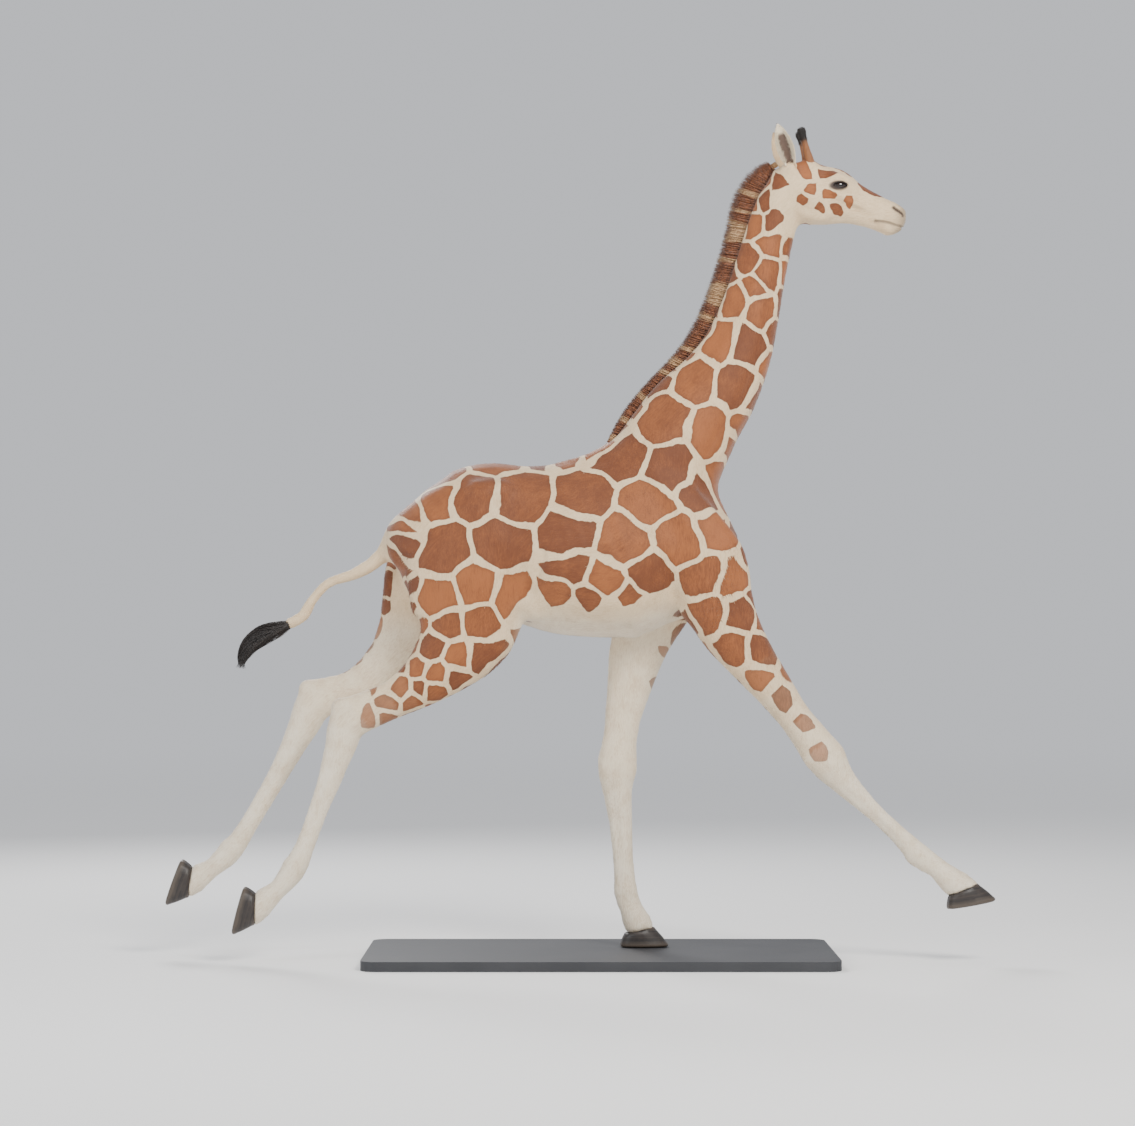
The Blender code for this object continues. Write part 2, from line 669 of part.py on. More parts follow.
def ear(name, side):
    """A leaf-shaped ear, rolled to a tube at its root and open to the side."""
    root, tip = on_head(EAR_ROOT, side), on_head(EAR_TIP, side)
    reach = tip - root
    ahead = at_head(1.0, 0.0, 0.0) - at_head(0.0, 0.0, 0.0)
    edgewise = (ahead - reach.normalized() * ahead.dot(reach.normalized())).normalized()
    outward = reach.cross(edgewise).normalized() * side
    # Along the ear: half its width, and how deep it is cupped
    profile = [
        (-0.12, 0.020, 0.024),
        (0.06, 0.027, 0.028),
        (0.22, 0.039, 0.027),
        (0.42, 0.045, 0.021),
        (0.62, 0.040, 0.015),
        (0.80, 0.028, 0.009),
        (0.93, 0.013, 0.004),
        (1.0, 0.004, 0.001),
    ]
    bm = bmesh.new()
    rows = []
    for along, half_width, cup in profile:
        row = []
        for i in range(EAR_POINTS + 1):
            across = 2 * i / EAR_POINTS - 1
            depth = cup * (across**2 - 0.5)
            place = root + reach * along + edgewise * (half_width * across) + outward * depth
            row.append(bm.verts.new(place))
        rows.append(row)
    for lower, upper in zip(rows, rows[1:]):
        for i in range(EAR_POINTS):
            bm.faces.new((lower[i], lower[i + 1], upper[i + 1], upper[i]))
    leaf = object_from(name, bm)
    wall = leaf.modifiers.new("wall", "SOLIDIFY")
    wall.thickness = EAR_WALL
    wall.offset = 0.0
    wall.use_even_offset = False
    return bake(leaf)


def mane(name):
    """The stiff crest along the back of the neck, from the poll to the withers."""
    rows = eased(MANE, 2)
    centres = np.array([(x, 0.0, z + GROUND) for x, z, _ in rows])
    rings = []
    for centre, ahead, row in zip(centres, tangents(centres), rows):
        back = Vector((ahead[2], 0.0, -ahead[0])).normalized()
        root = Vector(centre) - back * MANE_SINK
        ring = []
        for i in range(MANE_POINTS):
            turn = 2 * math.pi * i / MANE_POINTS
            up = 0.5 - 0.5 * math.cos(turn)
            across = MANE_THICKNESS / 2 * math.sin(turn) * (1.15 - 0.6 * up)
            ring.append(root + back * ((MANE_SINK + row[2]) * up) + Vector((0.0, across, 0.0)))
        rings.append(ring)
    return skin_rings(name, rings)


def stand_base(name):
    """A plain flat base with rounded corners."""
    bm = bmesh.new()
    place = Matrix.Translation((0.0, 0.0, BASE_THICKNESS / 2)) @ Matrix.Diagonal(
        (BASE_LENGTH, BASE_WIDTH, BASE_THICKNESS, 1.0)
    )
    bmesh.ops.create_cube(bm, size=1.0, matrix=place)
    corners = [e for e in bm.edges if abs(e.verts[0].co.z - e.verts[1].co.z) > BASE_THICKNESS / 2]
    bmesh.ops.bevel(bm, geom=corners, offset=BASE_CORNER, segments=6, profile=0.5, affect="EDGES")
    return object_from(name, bm)


# ---- colours ----

def finish(name, colour, roughness):
    material = bpy.data.materials.new(name)
    material.use_nodes = True
    shader = material.node_tree.nodes["Principled BSDF"]
    shader.inputs["Base Color"].default_value = (*colour, 1.0)
    shader.inputs["Roughness"].default_value = roughness
    return material


COLOURS = {
    "coat": ((0.55, 0.27, 0.11), 0.75),
    "pale_coat": ((0.80, 0.68, 0.48), 0.75),
    "mane": ((0.36, 0.16, 0.07), 0.8),
    "black_hair": ((0.03, 0.025, 0.02), 0.7),
    "horn": ((0.09, 0.07, 0.055), 0.5),
    "eye": ((0.02, 0.012, 0.01), 0.08),
    "base": ((0.06, 0.06, 0.065), 0.6),
}


def colour_of(name):
    for word, colour in (
        ("hoof", "horn"),
        ("eye", "eye"),
        ("ossicone", "coat"),
        ("mane", "mane"),
        ("tuft", "black_hair"),
        ("stand", "base"),
        ("lower", "pale_coat"),
    ):
        if word in name:
            return colour
    return "coat"


# ---- the giraffe ----

def build_giraffe():
    flesh = blended("trunk", body_forms() + head_forms())
    thinned(flesh, FLESH_TRIANGLES)
    whole = new_object("whole", flesh.data.copy())
    pieces = [flesh]

    for name, leg in LEGS.items():
        upper = part_leg(flesh, name + "_leg_upper", leg)
        trim_at_coronet(upper, leg)
        lower = split_at_plane(upper, *joint_plane(leg, leg.joint), name + "_leg_lower")
        pieces += [upper, lower]
        pieces += [hoof_claw(name + "_hoof_outer", leg, True)]
        pieces += [hoof_claw(name + "_hoof_inner", leg, False)]

    largest_body(flesh)
    neck = split_at_plane(flesh, NECK_CUT, NECK_CUT_AHEAD, "neck")
    head = split_at_plane(neck, HEAD_CUT, HEAD_CUT_AHEAD, "head")
    tail = split_at_plane(flesh, TAIL_CUT, TAIL_CUT_AHEAD, "tail")
    pieces += [neck, head, tail]

    for side, word in ((RIGHT, "right"), (LEFT, "left")):
        eye = eyeball("eye_" + word, side)
        socket = inflated(eye, GAP)
        boolean(head, socket, "DIFFERENCE")
        remove(socket)
        horn = seat(ossicone("ossicone_" + word, side), whole)
        leaf = seat(ear("ear_" + word, side), whole)
        pieces += [eye, horn, leaf]

    pieces.append(seat(mane("mane"), whole))
    tuft = limb("tail_tuft", TAIL_TUFT, 2, 12)
    pieces.append(seat(tuft, tail))
    pieces.append(stand_base("stand_base"))
    remove(whole)
    return pieces


def main():
    for obj in list(bpy.data.objects):
        bpy.data.objects.remove(obj)
    pieces = build_giraffe()
    finishes = {name: finish(name, *look) for name, look in COLOURS.items()}
    giraffe = bpy.data.collections.new("giraffe")
    bpy.context.scene.collection.children.link(giraffe)
    for piece in pieces:
        for holder in list(piece.users_collection):
            holder.objects.unlink(piece)
        giraffe.objects.link(piece)
        piece.data.materials.clear()
        piece.data.materials.append(finishes[colour_of(piece.name)])
        piece.data.shade_smooth()
        piece.data.set_sharp_from_angle(angle=SHARP_ANGLE)


main()
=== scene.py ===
"""The dressed giraffe: hide, coat, mane, tail brush, horns, ears, eyes and hooves, on its base."""

import json
import math
from collections import namedtuple
from contextlib import contextmanager

import bpy
import numpy as np
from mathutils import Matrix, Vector
from mathutils.bvhtree import BVHTree
from mathutils.kdtree import KDTree

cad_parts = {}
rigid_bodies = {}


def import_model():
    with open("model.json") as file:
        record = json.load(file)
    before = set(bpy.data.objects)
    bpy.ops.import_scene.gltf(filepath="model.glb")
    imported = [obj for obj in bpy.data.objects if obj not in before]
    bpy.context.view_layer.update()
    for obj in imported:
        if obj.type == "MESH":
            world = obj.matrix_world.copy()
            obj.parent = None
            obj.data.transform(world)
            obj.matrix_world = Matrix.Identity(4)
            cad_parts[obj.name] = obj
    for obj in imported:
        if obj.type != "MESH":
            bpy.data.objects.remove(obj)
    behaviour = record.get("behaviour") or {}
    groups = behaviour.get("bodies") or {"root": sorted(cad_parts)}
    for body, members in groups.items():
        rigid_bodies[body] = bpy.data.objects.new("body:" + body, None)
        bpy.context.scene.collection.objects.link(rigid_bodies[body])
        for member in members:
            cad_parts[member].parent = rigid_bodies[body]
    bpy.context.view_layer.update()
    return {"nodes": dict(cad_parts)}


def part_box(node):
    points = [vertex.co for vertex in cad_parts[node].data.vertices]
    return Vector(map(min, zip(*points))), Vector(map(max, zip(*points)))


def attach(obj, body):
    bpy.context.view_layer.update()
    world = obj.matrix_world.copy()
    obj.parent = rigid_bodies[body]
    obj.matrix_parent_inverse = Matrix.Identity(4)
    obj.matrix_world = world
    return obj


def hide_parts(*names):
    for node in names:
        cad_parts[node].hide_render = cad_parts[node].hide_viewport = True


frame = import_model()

# ---- The hide ----
# One skin over head, neck, trunk, tail and legs, as a tanned hide is drawn over a museum form.
# It starts as merged copies of the solids, is remeshed into one surface, and lies under them
# by the depth of the coat. Face and muzzle have the finest mesh.

HIDE_MESH, SAME_SPOT = 0.015, 0.0001
HIDE_SMOOTHING, HEAD_SMOOTHING = 5, 3
# Where one part runs softly into the next: along X, how high above the base, and how far round
SOFT_PLACES = [(0.52, 2.40, 0.20)]
SOFT_PASSES = 30
FLESH = sorted(
    name for name in frame["nodes"]
    if name in ("head", "neck", "trunk", "tail") or "_leg_" in name
)


@contextmanager
def edit_mode(piece):
    """Edit mode on one piece, for the operators in the block."""
    bpy.context.view_layer.objects.active = piece
    bpy.ops.object.mode_set(mode="EDIT")
    yield
    bpy.ops.object.mode_set(mode="OBJECT")


def copy_of(nodes, piece_name):
    """One object of merged copies of CAD nodes."""
    bpy.ops.object.select_all(action="DESELECT")
    for node in nodes:
        copied = bpy.data.objects.new(piece_name, frame["nodes"][node].data.copy())
        bpy.context.scene.collection.objects.link(copied)
        copied.select_set(True)
        bpy.context.view_layer.objects.active = copied
    if len(nodes) > 1:
        bpy.ops.object.join()
    piece = bpy.context.view_layer.objects.active
    piece.name = piece_name
    piece.data.materials.clear()
    with edit_mode(piece):
        bpy.ops.mesh.select_all(action="SELECT")
        bpy.ops.mesh.remove_doubles(threshold=SAME_SPOT)
    return piece


def modify(piece, kind, **settings):
    """Adds a modifier and applies it."""
    bpy.context.view_layer.objects.active = piece
    modifier = piece.modifiers.new(kind.title(), kind)
    for setting, value in settings.items():
        setattr(modifier, setting, value)
    bpy.ops.object.modifier_apply(modifier=modifier.name)


def points_of(mesh):
    found = np.empty(len(mesh.vertices) * 3)
    mesh.vertices.foreach_get("co", found)
    return found.reshape(-1, 3)


def normals_of(mesh):
    found = np.empty(len(mesh.vertices) * 3)
    mesh.vertex_normals.foreach_get("vector", found)
    return found.reshape(-1, 3)


def place_points(mesh, points):
    mesh.vertices.foreach_set("co", points.ravel())
    mesh.update()


def keep_largest(piece):
    """Deletes whatever isn't joined to the topmost vertex, such as a bubble inside."""
    with edit_mode(piece):
        bpy.ops.mesh.select_all(action="DESELECT")
    piece.data.vertices[int(points_of(piece.data)[:, 2].argmax())].select = True
    with edit_mode(piece):
        bpy.ops.mesh.select_linked()
        bpy.ops.mesh.select_all(action="INVERT")
        bpy.ops.mesh.delete(type="VERT")


def subdivide_where(piece, chosen):
    """Cuts each quad whose corners are all chosen into four."""
    with edit_mode(piece):
        bpy.ops.mesh.select_mode(type="VERT")
        bpy.ops.mesh.select_all(action="DESELECT")
    piece.data.vertices.foreach_set("select", chosen)
    with edit_mode(piece):
        bpy.ops.mesh.select_mode(type="FACE")
        bpy.ops.mesh.select_mode(type="VERT")
        bpy.ops.mesh.subdivide(number_cuts=1, smoothness=0.0)


def relax(mesh, share, passes):
    """Draws each vertex towards its neighbours' middle by its own share."""
    edges = np.empty(len(mesh.edges) * 2, int)
    mesh.edges.foreach_get("vertices", edges)
    one, other = edges.reshape(-1, 2).T
    count = len(mesh.vertices)
    neighbours = np.bincount(one, minlength=count) + np.bincount(other, minlength=count)
    points = points_of(mesh)
    for _ in range(passes):
        total = np.stack([
            np.bincount(one, points[other, axis], count)
            + np.bincount(other, points[one, axis], count)
            for axis in range(3)
        ], axis=1)
        points += share[:, None] * (total / neighbours[:, None] - points)
    place_points(mesh, points)


def smoothstep(low, high, value):
    t = np.clip((value - low) / (high - low), 0.0, 1.0)
    return t * t * (3 - 2 * t)


# The head's own axes: from the occiput along the muzzle, out to the left, and up
HEAD_PITCH = math.radians(-20.0)
HEAD_AHEAD = np.array([math.cos(HEAD_PITCH), 0.0, math.sin(HEAD_PITCH)])
HEAD_UP = np.array([-math.sin(HEAD_PITCH), 0.0, math.cos(HEAD_PITCH)])
LEFTWARD = np.array([0.0, 1.0, 0.0])
FLOOR_OF_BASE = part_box("stand_base")[1].z
OCCIPUT = np.array([0.90, 0.0, 3.93 + FLOOR_OF_BASE])


def head_place(along, side, up):
    return OCCIPUT + HEAD_AHEAD * along + LEFTWARD * side + HEAD_UP * up


def in_head(points):
    """Along, side and up of points, in the head's own axes."""
    away = points - OCCIPUT
    return away @ HEAD_AHEAD, away @ LEFTWARD, away @ HEAD_UP


def middle(node):
    low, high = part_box(node)
    return np.array((low + high) / 2)


SIDES = {"right": -1, "left": 1}
EYES = {side_sign: middle("eye_" + side_name) for side_name, side_sign in SIDES.items()}
# In the head's own axes: how far down its flesh reaches, where the face and the muzzle begin,
# and the nostrils' middle
HEAD_UNDERSIDE = -0.2
FACE_FROM, FACE_HALF, FACE_BOTTOM, FACE_TOP = 0.06, 0.2, -0.16, 0.24
MUZZLE_FROM, MUZZLE_BOTTOM = 0.54, -0.1
NOSTRIL_MIDDLE, NOSTRIL_REACH = (0.640, 0.090), (0.05, 0.03)
# How far from the eye's middle the mesh is halved once, and once more
EYE_ROUND, EYE_CLOSE = 0.078, 0.056

skin = copy_of(FLESH + ["eye_left", "eye_right"], "skin")
modify(skin, "REMESH", mode="VOXEL", voxel_size=HIDE_MESH, use_smooth_shade=True)
keep_largest(skin)
relax(skin.data, np.full(len(skin.data.vertices), 0.5), HIDE_SMOOTHING)
points = points_of(skin.data)
for x, z, reach in SOFT_PLACES:
    gap = np.hypot(points[:, 0] - x, points[:, 2] - FLOOR_OF_BASE - z)
    relax(skin.data, 0.5 * np.exp(-((gap / reach) ** 2)), SOFT_PASSES)


def face_places():
    """The hide's points in the head's own axes, and how far each is from the nearer eye."""
    points = points_of(skin.data)
    gaps = [np.linalg.norm(points - eye, axis=1) for eye in EYES.values()]
    return *in_head(points), np.min(gaps, axis=0)


along, side, up, eye_gap = face_places()
in_height = (up > FACE_BOTTOM) & (up < FACE_TOP)
subdivide_where(skin, (along > FACE_FROM) & (np.abs(side) < FACE_HALF) & in_height)
along, side, up, eye_gap = face_places()
head_share = smoothstep(0.02, 0.10, along) * (up > HEAD_UNDERSIDE)
relax(skin.data, 0.5 * head_share, HEAD_SMOOTHING)
along, side, up, eye_gap = face_places()
subdivide_where(skin, (along > MUZZLE_FROM) & (up > MUZZLE_BOTTOM) | (eye_gap < EYE_ROUND))
along, side, up, eye_gap = face_places()
near_nostril = np.abs(along - NOSTRIL_MIDDLE[0]) < NOSTRIL_REACH[0]
near_nostril &= np.abs(up - NOSTRIL_MIDDLE[1]) < NOSTRIL_REACH[1]
subdivide_where(skin, (eye_gap < EYE_CLOSE) | near_nostril)
along, side, up, eye_gap = face_places()
head_share = smoothstep(0.06, 0.12, along) * (up > HEAD_UNDERSIDE)
relax(skin.data, 0.5 * head_share, HEAD_SMOOTHING)

# ---- Flesh under the hide ----
# The muscles, bones and tendons that show through, each a swelling or a hollow pressed into
# the hide: beside which landmark of a run, at what angle, how long and wide, and how high.

# The run of the body under the hide: the middle of each part from end to end, and the
# landmarks that a leg's run passes, counted from 0 at its top
Run = namedtuple("Run", "points ahead out front")
LEG_SIDE = 0.17
LEG_LANDMARKS = {
    # shoulder or hip top, shoulder or thigh, elbow or stifle, forearm or gaskin,
    # knee or hock, shin, fetlock, pastern, coronet
    "front_right": [
        (0.27, 2.44), (0.47, 2.13), (0.585, 1.83), (0.74, 1.535),
        (1.15, 0.99), (1.37, 0.745), (1.625, 0.50), (1.72, 0.428), (1.85, 0.322),
    ],
    "front_left": [
        (0.25, 2.44), (0.40, 2.13), (0.33, 1.82), (0.19, 1.52),
        (0.09, 0.93), (0.112, 0.63), (0.142, 0.27), (0.162, 0.195), (0.205, 0.105),
    ],
    "hind_right": [
        (-0.62, 2.26), (-0.655, 1.93), (-0.70, 1.62), (-0.925, 1.37),
        (-1.27, 1.19), (-1.435, 0.735), (-1.56, 0.425), (-1.652, 0.322), (-1.762, 0.226),
    ],
    "hind_left": [
        (-0.66, 2.25), (-0.81, 1.92), (-0.955, 1.61), (-1.19, 1.385),
        (-1.47, 1.275), (-1.71, 0.83), (-1.925, 0.49), (-2.025, 0.408), (-2.132, 0.338),
    ],
}
KNEE, CORONET = 4, 8
NECK_LANDMARKS = [
    (0.12, 2.20), (0.37, 2.565), (0.595, 2.895), (0.77, 3.30), (0.88, 3.72), (0.96, 3.90),
]
TRUNK_LANDMARKS = [(-1.05, 2.08), (-0.58, 2.095), (-0.20, 2.07), (0.20, 2.10), (0.62, 2.02)]
TAIL_LANDMARKS = [
    (-0.98, 2.20), (-1.13, 2.02), (-1.26, 1.938), (-1.395, 1.892),
    (-1.478, 1.805), (-1.530, 1.718), (-1.615, 1.674),
]
HEAD_LANDMARKS = [(0.90, 3.96), (1.24, 3.86), (1.56, 3.74)]
RUN_STEPS = 12


def eased(rows, steps):
    """The rows with Catmull-Rom rows between them."""
    table = np.array(rows, float)
    padded = np.vstack([2 * table[0] - table[1], table, 2 * table[-1] - table[-2]])
    found = []
    for i in range(1, len(padded) - 2):
        before, start, end, after = padded[i - 1:i + 3]
        for t in np.arange(steps) / steps:
            bend = 2 * before - 5 * start + 4 * end - after
            twist = 3 * start - before - 3 * end + after
            found.append(0.5 * (2 * start + (end - before) * t + bend * t**2 + twist * t**3))
    found.append(table[-1])
    return np.array(found)


def run_through(landmarks, side=0):
    """A smooth run with its directions: ahead, out to its own side, and to its front or top."""
    rows = [(x, side * LEG_SIDE, z + FLOOR_OF_BASE) for x, z in landmarks]
    line = eased(rows, RUN_STEPS)
    ahead = np.gradient(line, axis=0)
    ahead /= np.linalg.norm(ahead, axis=1)[:, None]
    out = np.tile(LEFTWARD * (side or 1), (len(line), 1))
    front = np.stack([-ahead[:, 2], 0 * ahead[:, 0], ahead[:, 0]], axis=1)
    return Run(line, ahead, out, front)


RUNS = {
    leg: run_through(landmarks, -1 if "right" in leg else 1)
    for leg, landmarks in LEG_LANDMARKS.items()
}
RUNS["neck"] = run_through(NECK_LANDMARKS)
RUNS["trunk"] = run_through(TRUNK_LANDMARKS)
RUNS["tail"] = run_through(TAIL_LANDMARKS)
RUNS["head"] = run_through(HEAD_LANDMARKS)


def tree_of(mesh):
    return BVHTree.FromPolygons(points_of(mesh).tolist(), [p.vertices[:] for p in mesh.polygons])


def on_skin(tree, run, landmark, angle):
    """The place on the hide beside a run's landmark. The angle is 0 on the run's outer side,
    90 in front or on top, and -90 behind or below. It comes with ahead and outward there."""
    i = min(int(round(landmark * RUN_STEPS)), len(run.points) - 1)
    turn = math.radians(angle)
    outward = run.out[i] * math.cos(turn) + run.front[i] * math.sin(turn)
    hit = tree.ray_cast(Vector(run.points[i]), Vector(outward))[0]
    if hit is None:
        hit = run.points[i]
    return np.array(hit), run.ahead[i], outward


Form = namedtuple("Form", "landmark angle length width height")
FORELEG_FORMS = [
    Form(0.55, 0, 0.26, 0.030, 0.007),        # spine of the shoulder blade
    Form(0.55, 42, 0.24, 0.060, -0.007),      # hollow before it
    Form(0.75, -38, 0.24, 0.070, -0.006),     # hollow behind it
    Form(1.30, 58, 0.10, 0.085, 0.015),       # point of the shoulder
    Form(1.45, -28, 0.17, 0.100, 0.013),      # triceps
    Form(2.05, 20, 0.13, 0.040, -0.009),      # furrow between arm and chest
    Form(2.05, -82, 0.055, 0.045, 0.016),     # elbow
    Form(2.75, 48, 0.17, 0.055, 0.010),       # extensor of the forearm
    Form(2.80, 0, 0.19, 0.024, -0.006),       # furrow beside it
    Form(2.75, -50, 0.15, 0.050, 0.007),      # flexor
    Form(3.55, 90, 0.10, 0.045, -0.005),      # above the knee
    Form(3.98, 90, 0.055, 0.060, 0.007),      # face of the knee
    Form(3.90, 12, 0.032, 0.030, 0.007),      # radius end
    Form(4.12, 10, 0.028, 0.030, 0.005),      # carpal bones
    Form(3.92, 170, 0.040, 0.032, 0.005),     # inner side of the knee
    Form(3.93, -68, 0.045, 0.026, 0.010),     # bone behind the knee
    Form(5.0, 72, 0.20, 0.022, 0.004),        # cannon bone
    Form(5.0, -28, 0.22, 0.017, -0.007),      # furrow before the tendons, outside
    Form(5.0, -152, 0.22, 0.017, -0.007),     # and inside
]
HIND_LEG_FORMS = [
    Form(0.45, 25, 0.20, 0.110, 0.012),       # muscle of the rump
    Form(0.95, -62, 0.30, 0.030, -0.010),     # furrow down the back of the thigh
    Form(1.15, 5, 0.22, 0.090, 0.009),        # outer thigh
    Form(1.30, 62, 0.18, 0.080, 0.010),       # front of the thigh
    Form(1.95, 74, 0.060, 0.060, 0.016),      # stifle
    Form(1.80, 30, 0.10, 0.035, -0.009),      # furrow behind the stifle
    Form(2.60, 20, 0.15, 0.060, 0.009),       # outer gaskin
    Form(2.50, -55, 0.14, 0.050, 0.007),      # calf
    Form(3.45, -28, 0.12, 0.030, -0.012),     # hollow before the heel cord
    Form(3.45, -152, 0.12, 0.030, -0.012),
    Form(3.55, -90, 0.13, 0.022, 0.006),      # heel cord
    Form(3.95, -80, 0.045, 0.030, 0.014),     # point of the hock
    Form(4.02, 22, 0.034, 0.034, 0.008),      # outer ankle bone
    Form(4.02, 158, 0.034, 0.034, 0.007),
    Form(4.10, 90, 0.055, 0.040, -0.005),     # bend of the hock
    Form(5.0, 78, 0.22, 0.022, 0.004),        # cannon bone
    Form(4.95, -28, 0.22, 0.017, -0.008),     # furrows before the tendons
    Form(4.95, -152, 0.22, 0.017, -0.008),
]
FOOT_FORMS = [
    Form(5.0, -90, 0.22, 0.020, 0.004),       # flexor tendons
    Form(5.95, -88, 0.032, 0.045, 0.008),     # sesamoids behind the fetlock
    Form(5.90, 0, 0.028, 0.030, 0.005),       # sides of the fetlock
    Form(5.90, 180, 0.028, 0.030, 0.005),
    Form(6.9, -90, 0.035, 0.045, -0.007),     # hollow of the pastern
    Form(7.75, 90, 0.020, 0.070, 0.004),      # swell above the coronet
]
NECK_FORMS = [
    Form(0.9, 0, 0.16, 0.13, 0.010),          # root of the neck before the shoulder
    Form(1.6, -52, 0.50, 0.030, -0.009),      # furrow of the jugular, low
    Form(3.1, -50, 0.62, 0.024, -0.008),      # and high
    Form(2.4, -88, 0.90, 0.030, 0.005),       # windpipe
    Form(2.2, 52, 0.70, 0.030, -0.006),       # furrow under the crest
    Form(1.5, 12, 0.10, 0.10, 0.008),         # neck bones, one behind the other
    Form(2.2, 6, 0.10, 0.08, 0.007),
    Form(2.95, 2, 0.10, 0.07, 0.007),
    Form(3.6, 0, 0.09, 0.06, 0.006),
    Form(4.2, 0, 0.08, 0.05, 0.006),
    Form(4.75, 5, 0.055, 0.05, 0.010),        # wing of the first neck bone
    Form(4.72, -60, 0.030, 0.09, -0.006),     # crease at the throat
]
TRUNK_FORMS = [
    Form(0.95, 38, 0.10, 0.060, 0.016),       # point of the hip
    Form(1.30, 22, 0.12, 0.100, -0.016),      # hollow of the flank
    Form(0.45, 60, 0.22, 0.050, 0.006),       # croup
    Form(1.55, -35, 0.16, 0.090, -0.006),     # tuck before the stifle
    Form(3.20, -40, 0.12, 0.080, -0.008),     # behind the elbow
    Form(3.95, -48, 0.10, 0.060, 0.012),      # breast muscle
    Form(3.95, -90, 0.12, 0.024, -0.010),     # furrow of the breast
]
# Folds where a leg's flesh meets the side, on the right: points along X and how high above the
# base. The left ones are moved by as much as that leg is at FOLD_LANDMARK.
FOLDS = {
    "hind": [(-0.295, 2.04), (-0.325, 1.93), (-0.375, 1.80), (-0.400, 1.70)],
    "front": [(0.340, 1.99), (0.370, 1.85), (0.420, 1.72)],
}
FOLD_WIDTH, FOLD_DEPTH, FOLD_LANDMARK = 0.020, 0.016, 1
RIBS, RIB_SLANT = 9, np.array([0.28, 0.0, -0.96])
RIB_FIRST, RIB_LAST, RIB_LENGTH, RIB_WIDTH, RIB_HEIGHT = 1.45, 2.75, 0.26, 0.017, 0.0022
# From where along X the tail hangs free, its lowest point, and how near its solid is
TAIL_FREE, TAIL_ROOT, TAIL_LOWEST, TAIL_REACH = -1.12, 0.08, 1.66, 0.03


def press(points, normals, at, ahead, outward, form):
    """Moves the points near a place out, or in, along their normals."""
    across = np.cross(ahead, outward)
    away = points - at
    reach = (away @ ahead / form.length) ** 2 + (away @ across / form.width) ** 2
    depth = (away @ outward / max(form.length, form.width)) ** 2
    facing = np.clip(normals @ outward, 0.0, 1.0) ** 0.7
    points += normals * (form.height * np.exp(-reach - depth) * facing)[:, None]


def distance_to_line(across, upward, line):
    """How far points of a plane are from a line of straight pieces."""
    least = np.full(len(across), 1.0)
    for (x0, y0), (x1, y1) in zip(line, line[1:]):
        x, y = x1 - x0, y1 - y0
        t = np.clip(((across - x0) * x + (upward - y0) * y) / (x * x + y * y), 0.0, 1.0)
        least = np.minimum(least, np.hypot(across - x0 - x * t, upward - y0 - y * t))
    return least


points = points_of(skin.data)
# The slim tail shrank as the hide was smoothed, so it is drawn out to its solid again
tail_tree = tree_of(frame["nodes"]["tail"].data)
tail_share = np.zeros(len(points))
for i in np.flatnonzero((points[:, 0] < TAIL_FREE) & (points[:, 2] > TAIL_LOWEST)):
    found, _, _, gap = tail_tree.find_nearest(Vector(points[i]))
    if gap < TAIL_REACH:
        tail_share[i] = smoothstep(TAIL_FREE, TAIL_FREE - TAIL_ROOT, points[i, 0])
        points[i] += tail_share[i] * (np.array(found) - points[i])
place_points(skin.data, points)
normals = normals_of(skin.data)
body_tree = tree_of(skin.data)
for leg in LEG_LANDMARKS:
    for form in (FORELEG_FORMS if "front" in leg else HIND_LEG_FORMS) + FOOT_FORMS:
        press(points, normals, *on_skin(body_tree, RUNS[leg], form.landmark, form.angle), form)
for part, forms in (("neck", NECK_FORMS), ("trunk", TRUNK_FORMS)):
    for form in forms:
        for angle in {form.angle, 180 - form.angle} if form.angle > -88 else {form.angle}:
            press(points, normals, *on_skin(body_tree, RUNS[part], form.landmark, angle), form)
for pair, fold in FOLDS.items():
    starts = {name: RUNS[pair + "_" + name].points[FOLD_LANDMARK * RUN_STEPS, 0] for name in SIDES}
    for name, side in SIDES.items():
        moved = starts[name] - starts["right"]
        line = [(x + moved, z + FLOOR_OF_BASE) for x, z in eased(fold, 4)]
        gap = distance_to_line(points[:, 0], points[:, 2], line)
        facing = np.clip(normals[:, 1] * side, 0.0, 1.0) * (points[:, 1] * side > 0.1)
        points -= normals * (FOLD_DEPTH * np.exp(-((gap / FOLD_WIDTH) ** 2)) * facing)[:, None]
for rib in np.linspace(RIB_FIRST, RIB_LAST, RIBS):
    for half in (8, 172):
        at, ahead, outward = on_skin(body_tree, RUNS["trunk"], rib, half)
        form = Form(rib, half, RIB_LENGTH, RIB_WIDTH, RIB_HEIGHT)
        press(points, normals, at, RIB_SLANT, outward, form)

# ---- The head's modelling ----
# Bones, lips, nostrils and folds of the face, in the head's own axes: where a form lies along,
# out and up, its reach along and up, and its height. Both sides alike.

